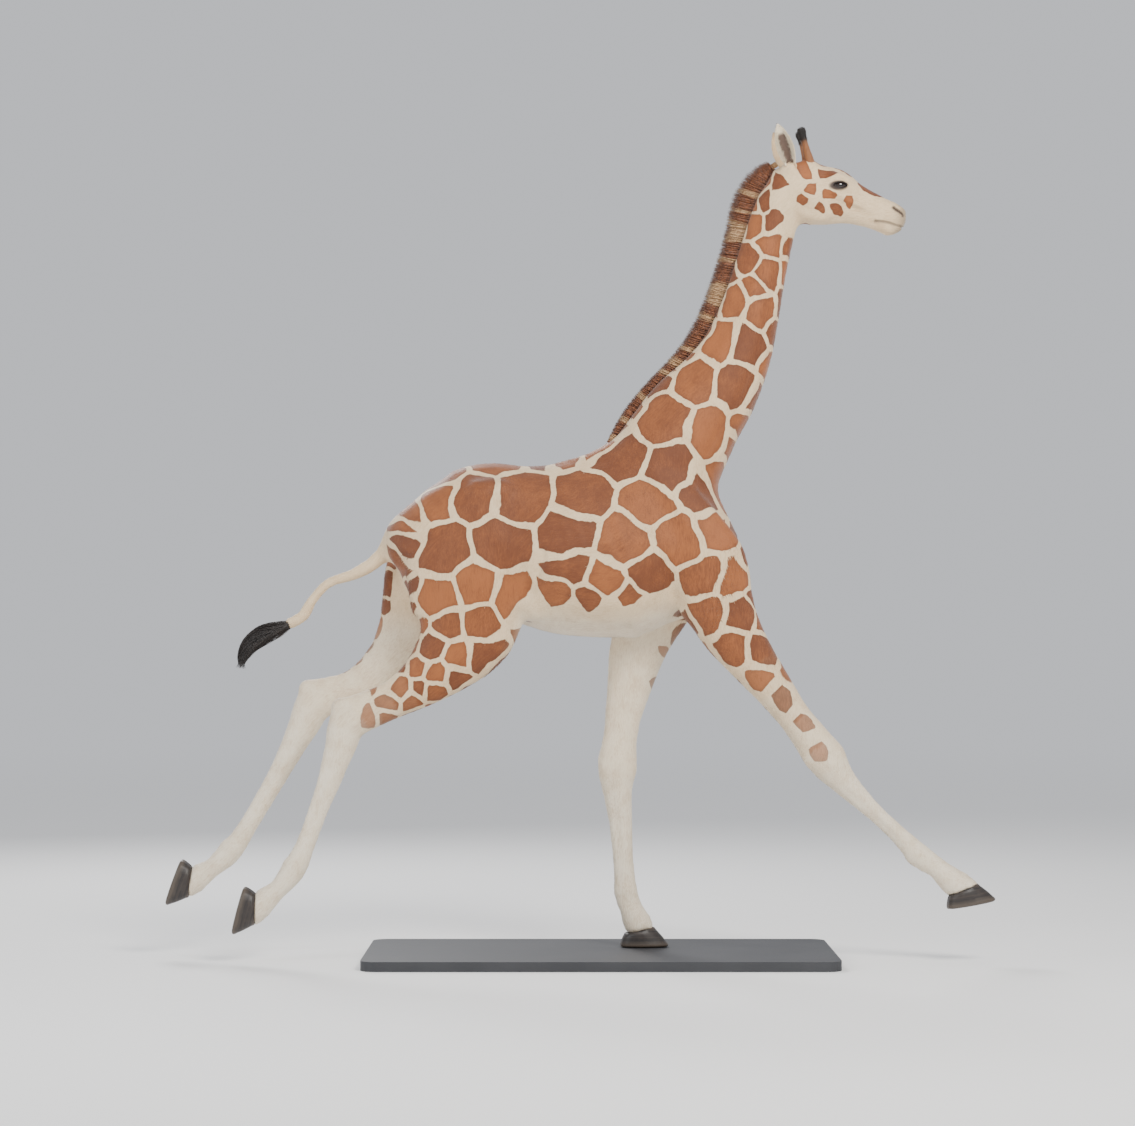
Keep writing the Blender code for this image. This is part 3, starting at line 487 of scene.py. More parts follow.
FaceForm = namedtuple("FaceForm", "along side up long high height")
FACE_FORMS = [
    FaceForm(0.299, 0.092, 0.153, 0.050, 0.014, 0.011),     # brow over the eye
    FaceForm(0.254, 0.100, 0.135, 0.026, 0.016, 0.006),     # back of the brow
    FaceForm(0.225, 0.090, 0.135, 0.030, 0.026, -0.009),    # temple
    FaceForm(0.205, 0.070, 0.190, 0.040, 0.022, -0.006),    # between brow and horn
    FaceForm(0.314, 0.102, 0.058, 0.055, 0.010, 0.006),     # cheek bone
    FaceForm(0.420, 0.082, 0.046, 0.080, 0.010, 0.007),     # crest before it
    FaceForm(0.430, 0.070, 0.092, 0.075, 0.022, -0.009),    # hollow beside the nose
    FaceForm(0.128, 0.050, 0.160, 0.034, 0.040, 0.006),     # root of the horn
    FaceForm(0.040, 0.098, 0.112, 0.030, 0.034, 0.005),     # root of the ear
    FaceForm(0.400, 0.065, 0.020, 0.080, 0.018, -0.009),    # hollow of the cheek
    FaceForm(0.180, 0.100, 0.000, 0.070, 0.060, 0.010),     # chewing muscle
    FaceForm(0.262, 0.095, -0.020, 0.018, 0.060, -0.005),   # its front edge
    FaceForm(0.300, 0.060, -0.088, 0.120, 0.016, 0.005),    # edge of the jaw
    FaceForm(0.110, 0.085, -0.080, 0.040, 0.030, 0.006),    # angle of the jaw
    FaceForm(0.062, 0.075, -0.040, 0.014, 0.070, -0.008),   # furrow behind the jaw
    FaceForm(0.480, 0.000, 0.152, 0.110, 0.014, 0.004),     # bridge of the nose
    FaceForm(0.560, 0.040, 0.135, 0.030, 0.018, -0.003),    # beside the bridge
    FaceForm(0.645, 0.050, 0.112, 0.036, 0.010, 0.0055),    # rim over the nostril
    FaceForm(0.668, 0.045, 0.062, 0.026, 0.014, 0.005),     # upper lip below the nostril
    FaceForm(0.600, 0.055, 0.055, 0.040, 0.020, 0.005),     # pad of the lip
    FaceForm(0.560, 0.055, 0.012, 0.022, 0.014, 0.003),     # corner of the mouth
    FaceForm(0.620, 0.040, -0.018, 0.040, 0.016, 0.005),    # lower lip
    FaceForm(0.628, 0.000, -0.040, 0.030, 0.014, 0.006),    # chin
    FaceForm(0.545, 0.050, -0.015, 0.020, 0.022, -0.004),   # behind the lower lip
]
MOUTH_LINE = [(0.545, 0.004), (0.575, 0.012), (0.610, 0.018), (0.650, 0.020), (0.700, 0.026)]
MOUTH_DEPTH, MOUTH_WIDTH, MOUTH_FROM = 0.008, 0.0042, 0.5
NOSTRIL_LINE = [(0.610, 0.101), (0.622, 0.096), (0.645, 0.091), (0.664, 0.086), (0.670, 0.078)]
NOSTRIL_DEPTH, NOSTRIL_WIDTH = 0.012, 0.0062
HEAD_FROM, FACE_FORM_SIDE = 0.03, 0.05


def off_slit(along, up, line, width):
    """1 on the line of a slit in the face, fading over its width."""
    return np.exp(-((distance_to_line(along, up, eased(line, 4)) / width) ** 2))


along, side, up = in_head(points)
is_head = (along > HEAD_FROM) & (up > HEAD_UNDERSIDE)
for form in FACE_FORMS:
    away = (along - form.along) / form.long, (up - form.up) / form.high
    off_side = (np.abs(side) - form.side) / FACE_FORM_SIDE
    swell = form.height * np.exp(-(away[0] ** 2) - away[1] ** 2 - off_side**2)
    points += normals * (swell * is_head)[:, None]
along, side, up = in_head(points)
in_mouth = off_slit(along, up, MOUTH_LINE, MOUTH_WIDTH) * is_head * (along > MOUTH_FROM)
points -= normals * (MOUTH_DEPTH * in_mouth)[:, None]
at_side = smoothstep(0.022, 0.034, np.abs(side)) * is_head
in_nostril = off_slit(along, up, NOSTRIL_LINE, NOSTRIL_WIDTH) * at_side
points -= normals * (NOSTRIL_DEPTH * in_nostril)[:, None]

# A gap that nothing comes up to, in metres
FAR = 9.0
# The lids: the hide follows the eyeball outside the almond between them and sinks inside it.
# Eyeball and almond are measured round, and both are drawn out along the slit by EYE_STRETCH
EYE_BALL, EYE_STRETCH = 0.025, 1.44
EYE_SLOPE, EYE_FORWARD, EYE_UPWARD = math.radians(22.0), 0.16, 0.04
ALMOND_HALF, ALMOND_TOP, ALMOND_BOTTOM, ALMOND_SAG = 0.0236, 0.0155, 0.0115, 0.0035
LID, SOCKET_DEPTH, SOCKET_REACH = 0.0030, 0.006, 0.043
# How far beyond the opening the fold of each lid lies, how wide it is and how deep
UPPER_FOLD, LOWER_FOLD = (0.0065, 0.0022, 0.0022), (0.0075, 0.0025, 0.0016)


def eye_axes(side):
    """Outward through the pupil, along the slit between the lids, and up across it."""
    outward = HEAD_AHEAD * EYE_FORWARD + LEFTWARD * side + HEAD_UP * EYE_UPWARD
    outward /= np.linalg.norm(outward)
    slit = HEAD_AHEAD * math.cos(EYE_SLOPE) + HEAD_UP * math.sin(EYE_SLOPE)
    slit -= outward * (slit @ outward)
    slit /= np.linalg.norm(slit)
    lift = np.cross(slit, outward) * -side
    return outward, slit, lift if lift @ HEAD_UP > 0 else -lift


def almond_edge(t):
    """The top and bottom of the opening at a share t, from -1 at the back to 1 in front."""
    arch = np.clip(1 - np.asarray(t) ** 2, 0.0, 1.0) ** 0.72
    sag = ALMOND_SAG * np.asarray(t)
    return ALMOND_TOP * arch - sag, -ALMOND_BOTTOM * arch - sag


def stretched(away, slit, factor):
    """Points about the eye, drawn out or in along its slit."""
    return away + np.outer(away @ slit, slit) * (factor - 1)


def from_eye(points):
    """How far points are from the nearer eye's middle, as if it were round."""
    found = np.full(len(points), FAR)
    for side, eye in EYES.items():
        away = stretched(points - eye, eye_axes(side)[1], 1 / EYE_STRETCH)
        found = np.minimum(found, np.linalg.norm(away, axis=1))
    return found


for side_sign, eye in EYES.items():
    outward, slit, lift = eye_axes(side_sign)
    away = stretched(points - eye, slit, 1 / EYE_STRETCH)
    a, b, c = away @ slit, away @ lift, away @ outward
    off_axis = np.hypot(a, b)
    top, bottom = almond_edge(a / ALMOND_HALF)
    opening = (b < top) & (b > bottom) & (np.abs(a) < ALMOND_HALF) & (off_axis < EYE_BALL)
    share = smoothstep(SOCKET_REACH, 0.024, off_axis) * (c > 0.0)
    reach = np.linalg.norm(away, axis=1)
    wanted = np.where(opening, EYE_BALL - SOCKET_DEPTH, EYE_BALL + LID)
    fold = np.exp(-(((b - top - UPPER_FOLD[0]) / UPPER_FOLD[1]) ** 2)) * UPPER_FOLD[2]
    fold += np.exp(-(((b - bottom + LOWER_FOLD[0]) / LOWER_FOLD[1]) ** 2)) * LOWER_FOLD[2]
    wanted = wanted - np.where(opening, 0.0, fold) * (np.abs(a) < ALMOND_HALF * 1.1)
    step = away / reach[:, None] * (share * (wanted - reach))[:, None]
    points += stretched(step, slit, EYE_STRETCH)
place_points(skin.data, points)

# The hide lies under the solids by the depth of the coat, which thins on face, shanks and tail
# and ends at the coronets and the lids
COAT_DEPTH, FACE_COAT_DEPTH, SHANK_COAT_DEPTH = 0.006, 0.0022, 0.003
TAIL_THINNING = 0.7


def near_shanks(points, far, near):
    """1 within near of the middle of a shank, and 0 beyond far."""
    share = np.zeros(len(points))
    for leg in LEG_LANDMARKS:
        shank = RUNS[leg].points[None, KNEE * RUN_STEPS::4]
        gaps = np.linalg.norm(points[:, None] - shank, axis=2).min(axis=1)
        share = np.maximum(share, smoothstep(far, near, gaps))
    return share


along, side, up = in_head(points)
coat_depth = COAT_DEPTH + (FACE_COAT_DEPTH - COAT_DEPTH) * smoothstep(0.0, 0.16, along)
coronet_share = np.zeros(len(points))
for leg in LEG_LANDMARKS:
    from_coronet = np.linalg.norm(points - RUNS[leg].points[-1], axis=1)
    coronet_share = np.maximum(coronet_share, smoothstep(0.16, 0.09, from_coronet))
coat_depth += (SHANK_COAT_DEPTH - coat_depth) * near_shanks(points, 0.19, 0.12)
coat_depth *= (1 - coronet_share) * (1 - TAIL_THINNING * tail_share)
coat_depth *= smoothstep(0.030, 0.048, from_eye(points))
points -= normals_of(skin.data) * coat_depth[:, None]
place_points(skin.data, points)
skin.data.shade_smooth()
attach(skin, "root")
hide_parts(*FLESH)

# ---- The markings ----
# The patches of the coat, grown from their centres as cells that meet along narrow cream
# lines. Each row of centres runs along the body; unmarked centres keep belly, shanks and
# muzzle plain. Every vertex of the hide and every tuft takes its marking from here.

PATCH_SEED = 11
WANDER, FINE_WANDER = 0.011, 0.002
LINE_SHARE, LINE_LEAST, LINE_MOST = 0.076, 0.0045, 0.0155
UNMARKED = -1.0
LEAST_APART = 0.06
CLASSES = 8
SPAN = 20000
BELLY_MIDDLE, BELLY_PALENESS, INNER_PALENESS = -0.02, 0.75, 0.7
BARE_NOSE, BARE_LIPS = 0.55, 0.8
# Slopes of the hair that its streaks are drawn in, in degrees from level
HAIR_TURNS = (0.0, 45.0, 90.0)

# Rows of patch centres on a side: where along X and how high above the base
SIDE_ROWS = {
    "back of the neck": [
        (0.84, 3.86), (0.775, 3.73), (0.735, 3.56), (0.69, 3.35), (0.61, 3.13), (0.49, 2.93),
        (0.33, 2.72),
    ],
    "front of the neck": [
        (0.935, 3.915), (0.92, 3.76), (0.875, 3.62), (0.86, 3.47), (0.83, 3.30), (0.76, 3.10),
        (0.70, 2.89), (0.57, 2.67),
    ],
    "along the back": [(-0.855, 2.31), (-0.65, 2.34), (-0.41, 2.33), (-0.08, 2.33), (0.24, 2.29)],
    "under the withers": [(0.10, 2.53), (0.35, 2.46)],
    "along the side": [(-0.80, 2.04), (-0.50, 2.08), (-0.165, 2.12), (0.13, 2.09)],
    "along the flank": [(-0.635, 1.86), (-0.45, 1.81), (-0.155, 1.94), (0.03, 1.88), (0.24, 1.92)],
    "over the belly": [(-0.22, 1.815), (-0.05, 1.795), (0.14, 1.795)],
    "shoulder": [(0.50, 2.34), (0.60, 2.15), (0.41, 2.10)],
    "rump": [(-0.975, 2.235), (-1.02, 2.09)],
}
# Rows on a leg's outer side, placed on the right leg and carried over to the left one
LEG_ROWS = {
    "front": [
        (0.54, 1.915), (0.665, 1.905), (0.555, 1.718), (0.686, 1.708), (0.666, 1.565),
        (0.830, 1.536), (0.800, 1.400), (0.912, 1.290), (1.035, 1.167), (1.110, 1.035),
    ],
    "hind": [
        (-0.82, 1.80), (-0.612, 1.68), (-0.775, 1.66), (-0.845, 1.56), (-0.74, 1.515),
        (-0.585, 1.535), (-0.93, 1.45), (-0.845, 1.42), (-0.735, 1.39), (-1.015, 1.345),
        (-0.92, 1.35), (-0.845, 1.33), (-1.07, 1.27), (-0.97, 1.28), (-1.17, 1.21), (-1.09, 1.20),
    ],
}
# Rows round a run's front, back or underside: from and to which landmark, how many, their angles
Ring = namedtuple("Ring", "start end rows angles")
LEG_RINGS = {
    "front": [Ring(1.55, 3.65, 6, (100,)), Ring(2.35, 3.45, 4, (-100,))],
    "hind": [Ring(1.75, 2.5, 3, (100,)), Ring(1.0, 3.5, 7, (-100,)), Ring(2.75, 3.5, 4, (108,))],
}
# Plain rows down the inner side of a leg
INNER_RINGS = {
    "front": [Ring(1.5, 3.9, 13, (145, 180, 215)), Ring(2.3, 3.9, 9, (122, 238))],
    "hind": [Ring(1.1, 3.9, 15, (145, 180, 215, 238))],
}
NECK_RINGS = [Ring(1.1, 4.55, 11, (-90,)), Ring(0.7, 4.7, 10, (84,))]
TRUNK_RINGS = [Ring(0.55, 3.7, 7, (88,))]
FACE_PATCHES = [
    (0.120, 0.106), (0.222, 0.142), (0.175, 0.040), (0.144, -0.030), (0.288, 0.033),
    (0.376, 0.039), (0.247, -0.040), (0.332, -0.012),
]
# Landmarks of the trunk, and angles round it, kept plain. The right thigh covers the first two
PLAIN_PLACES = [
    (0.9, (-60,)), (1.3, (-57,)), (1.7, (-54, -126)), (2.1, (-53, -127)), (2.5, (-53, -127)),
    (2.9, (-54, -126)), (3.3, (-58, -122)), (1.1, (-90,)), (1.5, (-90,)), (1.9, (-90,)),
    (2.3, (-90,)), (2.7, (-90,)), (3.1, (-90,)), (3.5, (-90,)),
]
FACE_PLAIN = [
    (0.47, 0.045), (0.43, -0.02), (0.40, -0.08), (0.58, 0.06), (0.31, 0.105), (0.62, 0.0),
    (0.075, 0.06), (0.058, -0.035), (0.15, -0.10), (0.235, -0.095), (0.285, -0.100),
    (0.335, -0.066),
]
FACE_LINE, LIMB_LINE, FOREARM_LINE = 0.0120, 0.0045, 0.024
# Patches of the face are longer than high, from the jaw's height to the crown's
FACE_FLATNESS, FACE_SPAN = 0.65, (-0.12, 0.22)
CROWN_PATCHES = [(0.18, 0.20), (0.30, 0.21), (0.47, 0.17)]

rng = np.random.default_rng(PATCH_SEED)
body_tree = tree_of(skin.data)
centres, tones = [], []


def centre(place, tone=None):
    """Keeps a centre, unless it would be a second one at the same spot."""
    if tone is None and centres:
        gaps = np.linalg.norm(np.array(centres) - place, axis=1)
        if gaps.min() < LEAST_APART:
            return
    centres.append(np.array(place))
    tones.append(rng.uniform(0.0, 1.0) if tone is None else tone)


def from_side(x, z, side):
    """The place on the hide that is first met from one side."""
    start = Vector((x, side * 2.0, z + FLOOR_OF_BASE))
    return body_tree.ray_cast(start, Vector((0.0, -side, 0.0)))[0]


for row in SIDE_ROWS.values():
    step = np.gradient(np.array(row), axis=0)
    for (x, z), (dx, dz) in zip(row, step):
        centre(from_side(x, z, -1))
        slide, stray = rng.uniform(0.25, 0.5), rng.normal(0.0, 0.015, 2)
        found = from_side(x + slide * dx + stray[0], z + slide * dz + stray[1], 1)
        if found:
            centre(found)


def beside_run(run, place):
    """The landmark of a run that a place lies beside, and at what angle."""
    i = np.linalg.norm(run.points - place, axis=1).argmin()
    away = place - run.points[i]
    return i / RUN_STEPS, math.degrees(math.atan2(away @ run.front[i], away @ run.out[i]))


def ring_spots(rings):
    for ring in rings:
        for landmark in np.linspace(ring.start, ring.end, ring.rows):
            yield from ((landmark, angle) for angle in ring.angles)


def ring_centres(run, rings, stray):
    for landmark, angle in ring_spots(rings):
        spot = landmark + rng.normal(0.0, stray), angle + rng.normal(0.0, 150 * stray)
        centre(on_skin(body_tree, run, *spot)[0])


for pair, row in LEG_ROWS.items():
    for x, z in row:
        found = np.array(from_side(x, z, -1))
        centre(found)
        landmark, angle = beside_run(RUNS[pair + "_right"], found)
        spot = landmark + rng.normal(0.0, 0.03), angle + rng.normal(0.0, 5.0)
        centre(on_skin(body_tree, RUNS[pair + "_left"], *spot)[0])
for leg in LEG_LANDMARKS:
    ring_centres(RUNS[leg], LEG_RINGS[leg.split("_")[0]], 0.03)
    for landmark in np.arange(KNEE + (0.12 if "front" in leg else -0.08), CORONET + 0.1, 0.4):
        centre(RUNS[leg].points[min(int(landmark * RUN_STEPS), CORONET * RUN_STEPS)], UNMARKED)
    for landmark, angle in ring_spots(INNER_RINGS[leg.split("_")[0]]):
        inner = on_skin(body_tree, RUNS[leg], landmark, angle)[0]
        if inner[1] * RUNS[leg].out[0, 1] > 0:
            centre(inner, UNMARKED)
ring_centres(RUNS["neck"], NECK_RINGS, 0.04)
ring_centres(RUNS["trunk"], TRUNK_RINGS, 0.05)
for landmark, angles in PLAIN_PLACES:
    for angle in angles:
        centre(on_skin(body_tree, RUNS["trunk"], landmark, angle)[0], UNMARKED)
for spots, tone in ((FACE_PATCHES, None), (FACE_PLAIN, UNMARKED)):
    for along, up in spots:
        for side in (-1, 1):
            stray = rng.normal(0.0, 0.006, 2) if side > 0 else (0.0, 0.0)
            start = head_place(along + stray[0], side * 0.5, up + stray[1])
            found = body_tree.ray_cast(Vector(start), Vector(-LEFTWARD * side))[0]
            if found:
                centre(found, tone)
for along, up in CROWN_PATCHES:
    centre(head_place(along, 0.0, up))
for landmark in np.arange(1.2, 6.0, 0.6):
    centre(RUNS["tail"].points[int(landmark * RUN_STEPS)], UNMARKED)
centres, tones = np.array(centres), np.array(tones)
between = np.linalg.norm(centres[:, None] - centres[None], axis=2) + FAR * np.eye(len(centres))
spacing = np.sort(between, axis=1)[:, :3].mean(axis=1)


def ripple(points, wavelength, seed):
    """Smooth noise of about -1 to 1 with waves of about this length."""
    waves = np.random.default_rng(seed)
    total = np.zeros(len(points))
    for _ in range(9):
        direction = waves.normal(size=3)
        direction *= 2 * math.pi / wavelength * waves.uniform(0.6, 1.5) / np.linalg.norm(direction)
        total += np.sin(points @ direction + waves.uniform(0, 2 * math.pi))
    return total / 3


def face_share(points):
    """1 on the face and 0 from the back of the head on."""
    along, _, up = in_head(points)
    return smoothstep(0.02, 0.12, along) * smoothstep(-0.30, -0.14, up)


def flattened(points):
    """Points of the face drawn apart from below its middle to above it."""
    up = np.clip(in_head(points)[2], *FACE_SPAN)
    return points + np.outer(FACE_FLATNESS * face_share(points) * up, HEAD_UP)


def strayed(points):
    """Where points count from, so that the patches' edges wander."""
    wander = [
        WANDER * ripple(points, 0.17, 20 + axis) + FINE_WANDER * ripple(points, 0.035, 30 + axis)
        for axis in range(3)
    ]
    return flattened(points + np.stack(wander, axis=1))


def reaches(points):
    """How far points are from each centre, in spans of the list that memory has room for."""
    counted = strayed(points)
    for start in range(0, len(points), SPAN):
        span = slice(start, start + SPAN)
        yield span, np.linalg.norm(counted[span, None] - flat_centres[None], axis=2)


def shared_out(points):
    """Gives each marked centre one of a few classes, so that no two neighbours share one: they
    are neighbours where both are among the three nearest. All unmarked centres share the last
    class."""
    beside = [set() for _ in centres]
    for _, reach in reaches(points):
        nearest = np.sort(np.argpartition(reach, 3, axis=1)[:, :3], axis=1)
        for trio in np.unique(nearest, axis=0).tolist():
            for i in trio:
                beside[i] |= set(trio)
    classes = np.full(len(centres), CLASSES)
    for i in sorted(np.flatnonzero(tones >= 0), key=lambda i: -len(beside[i])):
        taken = {classes[j] for j in beside[i]}
        classes[i] = next((c for c in range(CLASSES) if c not in taken), i % CLASSES)
    return classes


def markings(points):
    """How far each point is from the nearest centre of each class, the tone of its patch, and
    half the width of the line beside it."""
    fields = np.empty((len(points), CLASSES + 1))
    tone, line = np.empty(len(points)), np.empty(len(points))
    marked = np.flatnonzero(tones >= 0)
    for span, reach in reaches(points):
        for c in range(CLASSES + 1):
            fields[span, c] = reach[:, classes == c].min(axis=1, initial=FAR)
        tone[span] = tones[marked][reach[:, marked].argmin(axis=1)]
        weight = np.exp(-((reach - reach.min(axis=1)[:, None]) / 0.03))
        line[span] = (weight * spacing).sum(axis=1) / weight.sum(axis=1) * LINE_SHARE
    wider = FACE_LINE * face_share(points)
    height = points[:, 2] - FLOOR_OF_BASE
    wider += LIMB_LINE * smoothstep(1.80, 1.60, height)
    wider += FOREARM_LINE * smoothstep(1.62, 1.05, height) * (points[:, 0] > -0.2)
    return fields, tone, np.clip(line, LINE_LEAST, LINE_MOST) + wider


def depth_in_patch(fields, line):
    """How far inside its patch's edge each point lies, below 0 on the ground colour."""
    ordered = np.sort(fields[:, :CLASSES], axis=1)
    apart = np.minimum(ordered[:, 1], fields[:, CLASSES]) - ordered[:, 0]
    return apart / 2 - line


def paleness(points):
    """1 on the belly, the inner thighs and the shanks, and 0 on neck and back."""
    height = points[:, 2] - FLOOR_OF_BASE
    off_belly = np.abs(points[:, 0] - BELLY_MIDDLE)
    under = smoothstep(1.86, 1.66, height) * smoothstep(0.50, 0.34, off_belly)
    pale = BELLY_PALENESS * under * smoothstep(0.30, 0.18, np.abs(points[:, 1]))
    for leg in LEG_LANDMARKS:
        run = RUNS[leg]
        reach = np.linalg.norm(points[:, None] - run.points[None, ::3], axis=2)
        landmark = reach.argmin(axis=1) * 3 / RUN_STEPS
        near = smoothstep(0.30, 0.16, reach.min(axis=1))
        outward = points @ run.out[0] - LEG_SIDE
        inner = smoothstep(0.02, -0.05, outward) * smoothstep(1.80, 1.60, height)
        inner = INNER_PALENESS * inner * near * smoothstep(0.9, 1.8, landmark)
        shank = smoothstep(2.9, 4.6, landmark) * near
        pale = np.maximum(pale, np.maximum(shank, inner))
    return pale


def bareness(points):
    """1 on the tip of the muzzle, lips, nostrils and lids, where the dark skin shows."""
    along, side, up = in_head(points)
    on_head = (along > 0.2) & (up > HEAD_UNDERSIDE)
    nose = smoothstep(0.60, 0.69, along - 0.25 * (0.06 - up)) * BARE_NOSE
    nostril = off_slit(along, up, NOSTRIL_LINE, 0.010) * smoothstep(0.02, 0.034, np.abs(side))
    lips = off_slit(along, up, MOUTH_LINE, 0.007) * (along > MOUTH_FROM)
    dark = np.maximum(np.maximum(nose, nostril), BARE_LIPS * lips)
    for side_sign, eye in EYES.items():
        outward, slit, lift = eye_axes(side_sign)
        away = points - eye
        ring = np.hypot((away @ slit + 0.009) * 0.50, away @ lift)
        ring *= np.where(away @ outward > 0, 1.0, FAR)
        dark = np.maximum(dark, smoothstep(0.030, 0.019, ring))
    return dark * on_head


def lie_of(points, normals):
    """The way the hair lies: down the neck and legs, and back along the trunk and head."""
    total = np.zeros((len(points), 3))
    for name, run in RUNS.items():
        line, ahead = run.points[::3], run.ahead[::3]
        backward = -1.0 if name in ("neck", "trunk", "head") else 1.0
        reach = np.linalg.norm(points[:, None] - line[None], axis=2)
        weight = np.exp(-((reach.min(axis=1) / 0.11) ** 1.5)) + 1e-9
        total += ahead[reach.argmin(axis=1)] * (backward * weight)[:, None]
    total[:, 2] -= 0.15 * np.linalg.norm(total, axis=1)
    total -= normals * (total * normals).sum(axis=1)[:, None]
    return total / np.maximum(np.linalg.norm(total, axis=1), 1e-9)[:, None]


def lie_shares(lie):
    """How near the slope of the hair is to each of the turns that its streaks are drawn in."""
    slope = np.arctan2(lie[:, 2], lie[:, 0])
    turns = np.radians(HAIR_TURNS)
    return np.stack([np.cos(slope - turn) ** 2 for turn in turns], axis=1) ** 3


def keep_value(mesh, name, values):
    kind, key = ("FLOAT", "value") if values.ndim == 1 else ("FLOAT_VECTOR", "vector")
    mesh.attributes.new(name, kind, "POINT").data.foreach_set(key, values.ravel())


def keep_coat_values(mesh, tone, pale, bare, lie):
    """Stores what the coat's material reads, one value for each vertex."""
    keep_value(mesh, "patch_tone", tone)
    keep_value(mesh, "pale", pale)
    keep_value(mesh, "bare", bare)
    keep_value(mesh, "lie", lie_shares(lie))


flat_centres = flattened(centres)
points, normals = points_of(skin.data), normals_of(skin.data)
classes = shared_out(points[::2])
fields, patch_tone, line = markings(points)
for group in range(3):
    keep_value(skin.data, f"centres_{group}", fields[:, group * 3:group * 3 + 3])
keep_value(skin.data, "line", line)
skin_lie = lie_of(points, normals)
keep_coat_values(skin.data, patch_tone, paleness(points), bareness(points), skin_lie)

# ---- The coat's finish ----
# Short hair that lies flat: liver-brown patches with crisp edges on a cream ground, paler
# below, dark skin at lips and lids, and the fine streaks of the hair in colour and relief.


class Wire:
    """A value in a material's nodes, on which arithmetic adds Math nodes."""

    def __init__(self, finish, socket):
        self.finish, self.socket = finish, socket

    def math(self, operation, *values):
        return self.finish.add("ShaderNodeMath", {"operation": operation}, *values)

    def __add__(self, other):
        return self.math("ADD", self, other)

    def __sub__(self, other):
        return self.math("SUBTRACT", self, other)

    def __rsub__(self, other):
        return self.math("SUBTRACT", other, self)

    def __mul__(self, other):
        return self.math("MULTIPLY", self, other)

    __radd__, __rmul__ = __add__, __mul__

    def __truediv__(self, other):
        return self.math("DIVIDE", self, other)

    def least(self, other):
        return self.math("MINIMUM", self, other)

    def most(self, other):
        return self.math("MAXIMUM", self, other)


class Finish:
    """A material whose constants sit on the shader and whose patterns are fed to it."""

    def __init__(self, name, **constants):
        self.material = bpy.data.materials.new(name)
        self.material.use_nodes = True
        self.tree = self.material.node_tree
        self.shader = self.tree.nodes["Principled BSDF"]
        for socket, value in constants.items():
            self.shader.inputs[socket.replace("_", " ")].default_value = value

    def add(self, kind, settings, *values, output=0, **named):
        """Adds a node: its settings first, then its sockets in order or by name."""
        node = self.tree.nodes.new(kind)
        for setting, value in settings.items():
            setattr(node, setting, value)
        known = {s.identifier: s for s in node.inputs}
        known |= {s.name: s for s in node.inputs if s.enabled}
        sockets = list(zip(node.inputs, values))
        for key, value in named.items():
            sockets.append((known.get(key) or known[key.replace("_", " ")], value))
        for socket, value in sockets:
            if isinstance(value, Wire):
                self.tree.links.new(value.socket, socket)
            else:
                socket.default_value = value
        outputs = {s.identifier: s for s in node.outputs} | dict(enumerate(node.outputs))
        return Wire(self, outputs[output])

    def feed(self, **links):
        for socket, wire in links.items():
            self.tree.links.new(wire.socket, self.shader.inputs[socket.replace("_", " ")])

    def value(self, attribute, output="Fac"):
        return self.add("ShaderNodeAttribute", {"attribute_name": attribute}, output=output)

    def place(self):
        return self.add("ShaderNodeTexCoord", {}, output="Object")

    def vector_math(self, operation, *values, output=0):
        return self.add("ShaderNodeVectorMath", {"operation": operation}, *values, output=output)

    def mixed(self, share, first, second):
        """One colour turning into another. A plain colour is given as three numbers."""
        colours = [c if isinstance(c, Wire) else (*c, 1.0) for c in (first, second)]
        sockets = {"Factor_Float": share, "A_Color": colours[0], "B_Color": colours[1]}
        return self.add("ShaderNodeMix", {"data_type": "RGBA"}, output="Result_Color", **sockets)

    def step(self, value, low, high):
        """0 at low and 1 at high, with a smooth turn between."""
        settings = {"interpolation_type": "SMOOTHSTEP"}
        return self.add("ShaderNodeMapRange", settings, value, low, high, 0.0, 1.0)

    def noise(self, vector, scale, detail=2.0):
        return self.add("ShaderNodeTexNoise", {}, Vector=vector, Scale=scale, Detail=detail)

    def bump(self, height, strength, distance):
        return self.add("ShaderNodeBump", {}, Strength=strength, Distance=distance, Height=height)


def shade(red, green, blue):
    """A colour as a screen shows it, in the linear values that materials use."""
    shares = (red / 255, green / 255, blue / 255)
    return tuple(c / 12.92 if c < 0.0405 else ((c + 0.055) / 1.055) ** 2.4 for c in shares)


CREAM, CREAM_PALE = shade(226, 201, 163), shade(236, 224, 201)
CREAM_SHADOW = shade(186, 152, 112)
PATCH_DARK, PATCH_LIGHT, PATCH_RIM = shade(106, 57, 29), shade(156, 91, 47), shade(88, 46, 24)
BARE_SKIN = shade(78, 66, 60)


def streaks(finish, place, scale, thin):
    """Noise drawn out along the lie of the hair."""
    shares = finish.add("ShaderNodeSeparateXYZ", {}, finish.value("lie", "Vector"))
    total, weight = 0.0, 0.001
    for axis, turn in enumerate(HAIR_TURNS):
        share = Wire(finish, shares.socket.node.outputs[axis])
        turned = finish.add(
            "ShaderNodeMapping", {"vector_type": "TEXTURE"}, place,
            (0.0, 0.0, 0.0), (0.0, math.radians(-turn), 0.0), (1.0 / thin, 1.0, 1.0),
        )
        total = share * finish.noise(turned, scale) + total
        weight = share + weight
    return total / weight


def depth_from_centres(finish):
    """How far inside its patch each point is: half the step from the nearest centre to the
    next, less half the line's width. Unmarked centres end a patch without being one."""
    reaches = []
    for group in range(3):
        vector = finish.value(f"centres_{group}", "Vector")
        parts = finish.add("ShaderNodeSeparateXYZ", {}, vector)
        reaches += [Wire(finish, out) for out in parts.socket.node.outputs]
    unmarked = reaches.pop()
    nearest, second = reaches[0].least(reaches[1]), reaches[0].most(reaches[1])
    for reach in reaches[2:]:
        second = second.least(nearest.most(reach))
        nearest = nearest.least(reach)
    return (second.least(unmarked) - nearest) * 0.5 - finish.value("line")


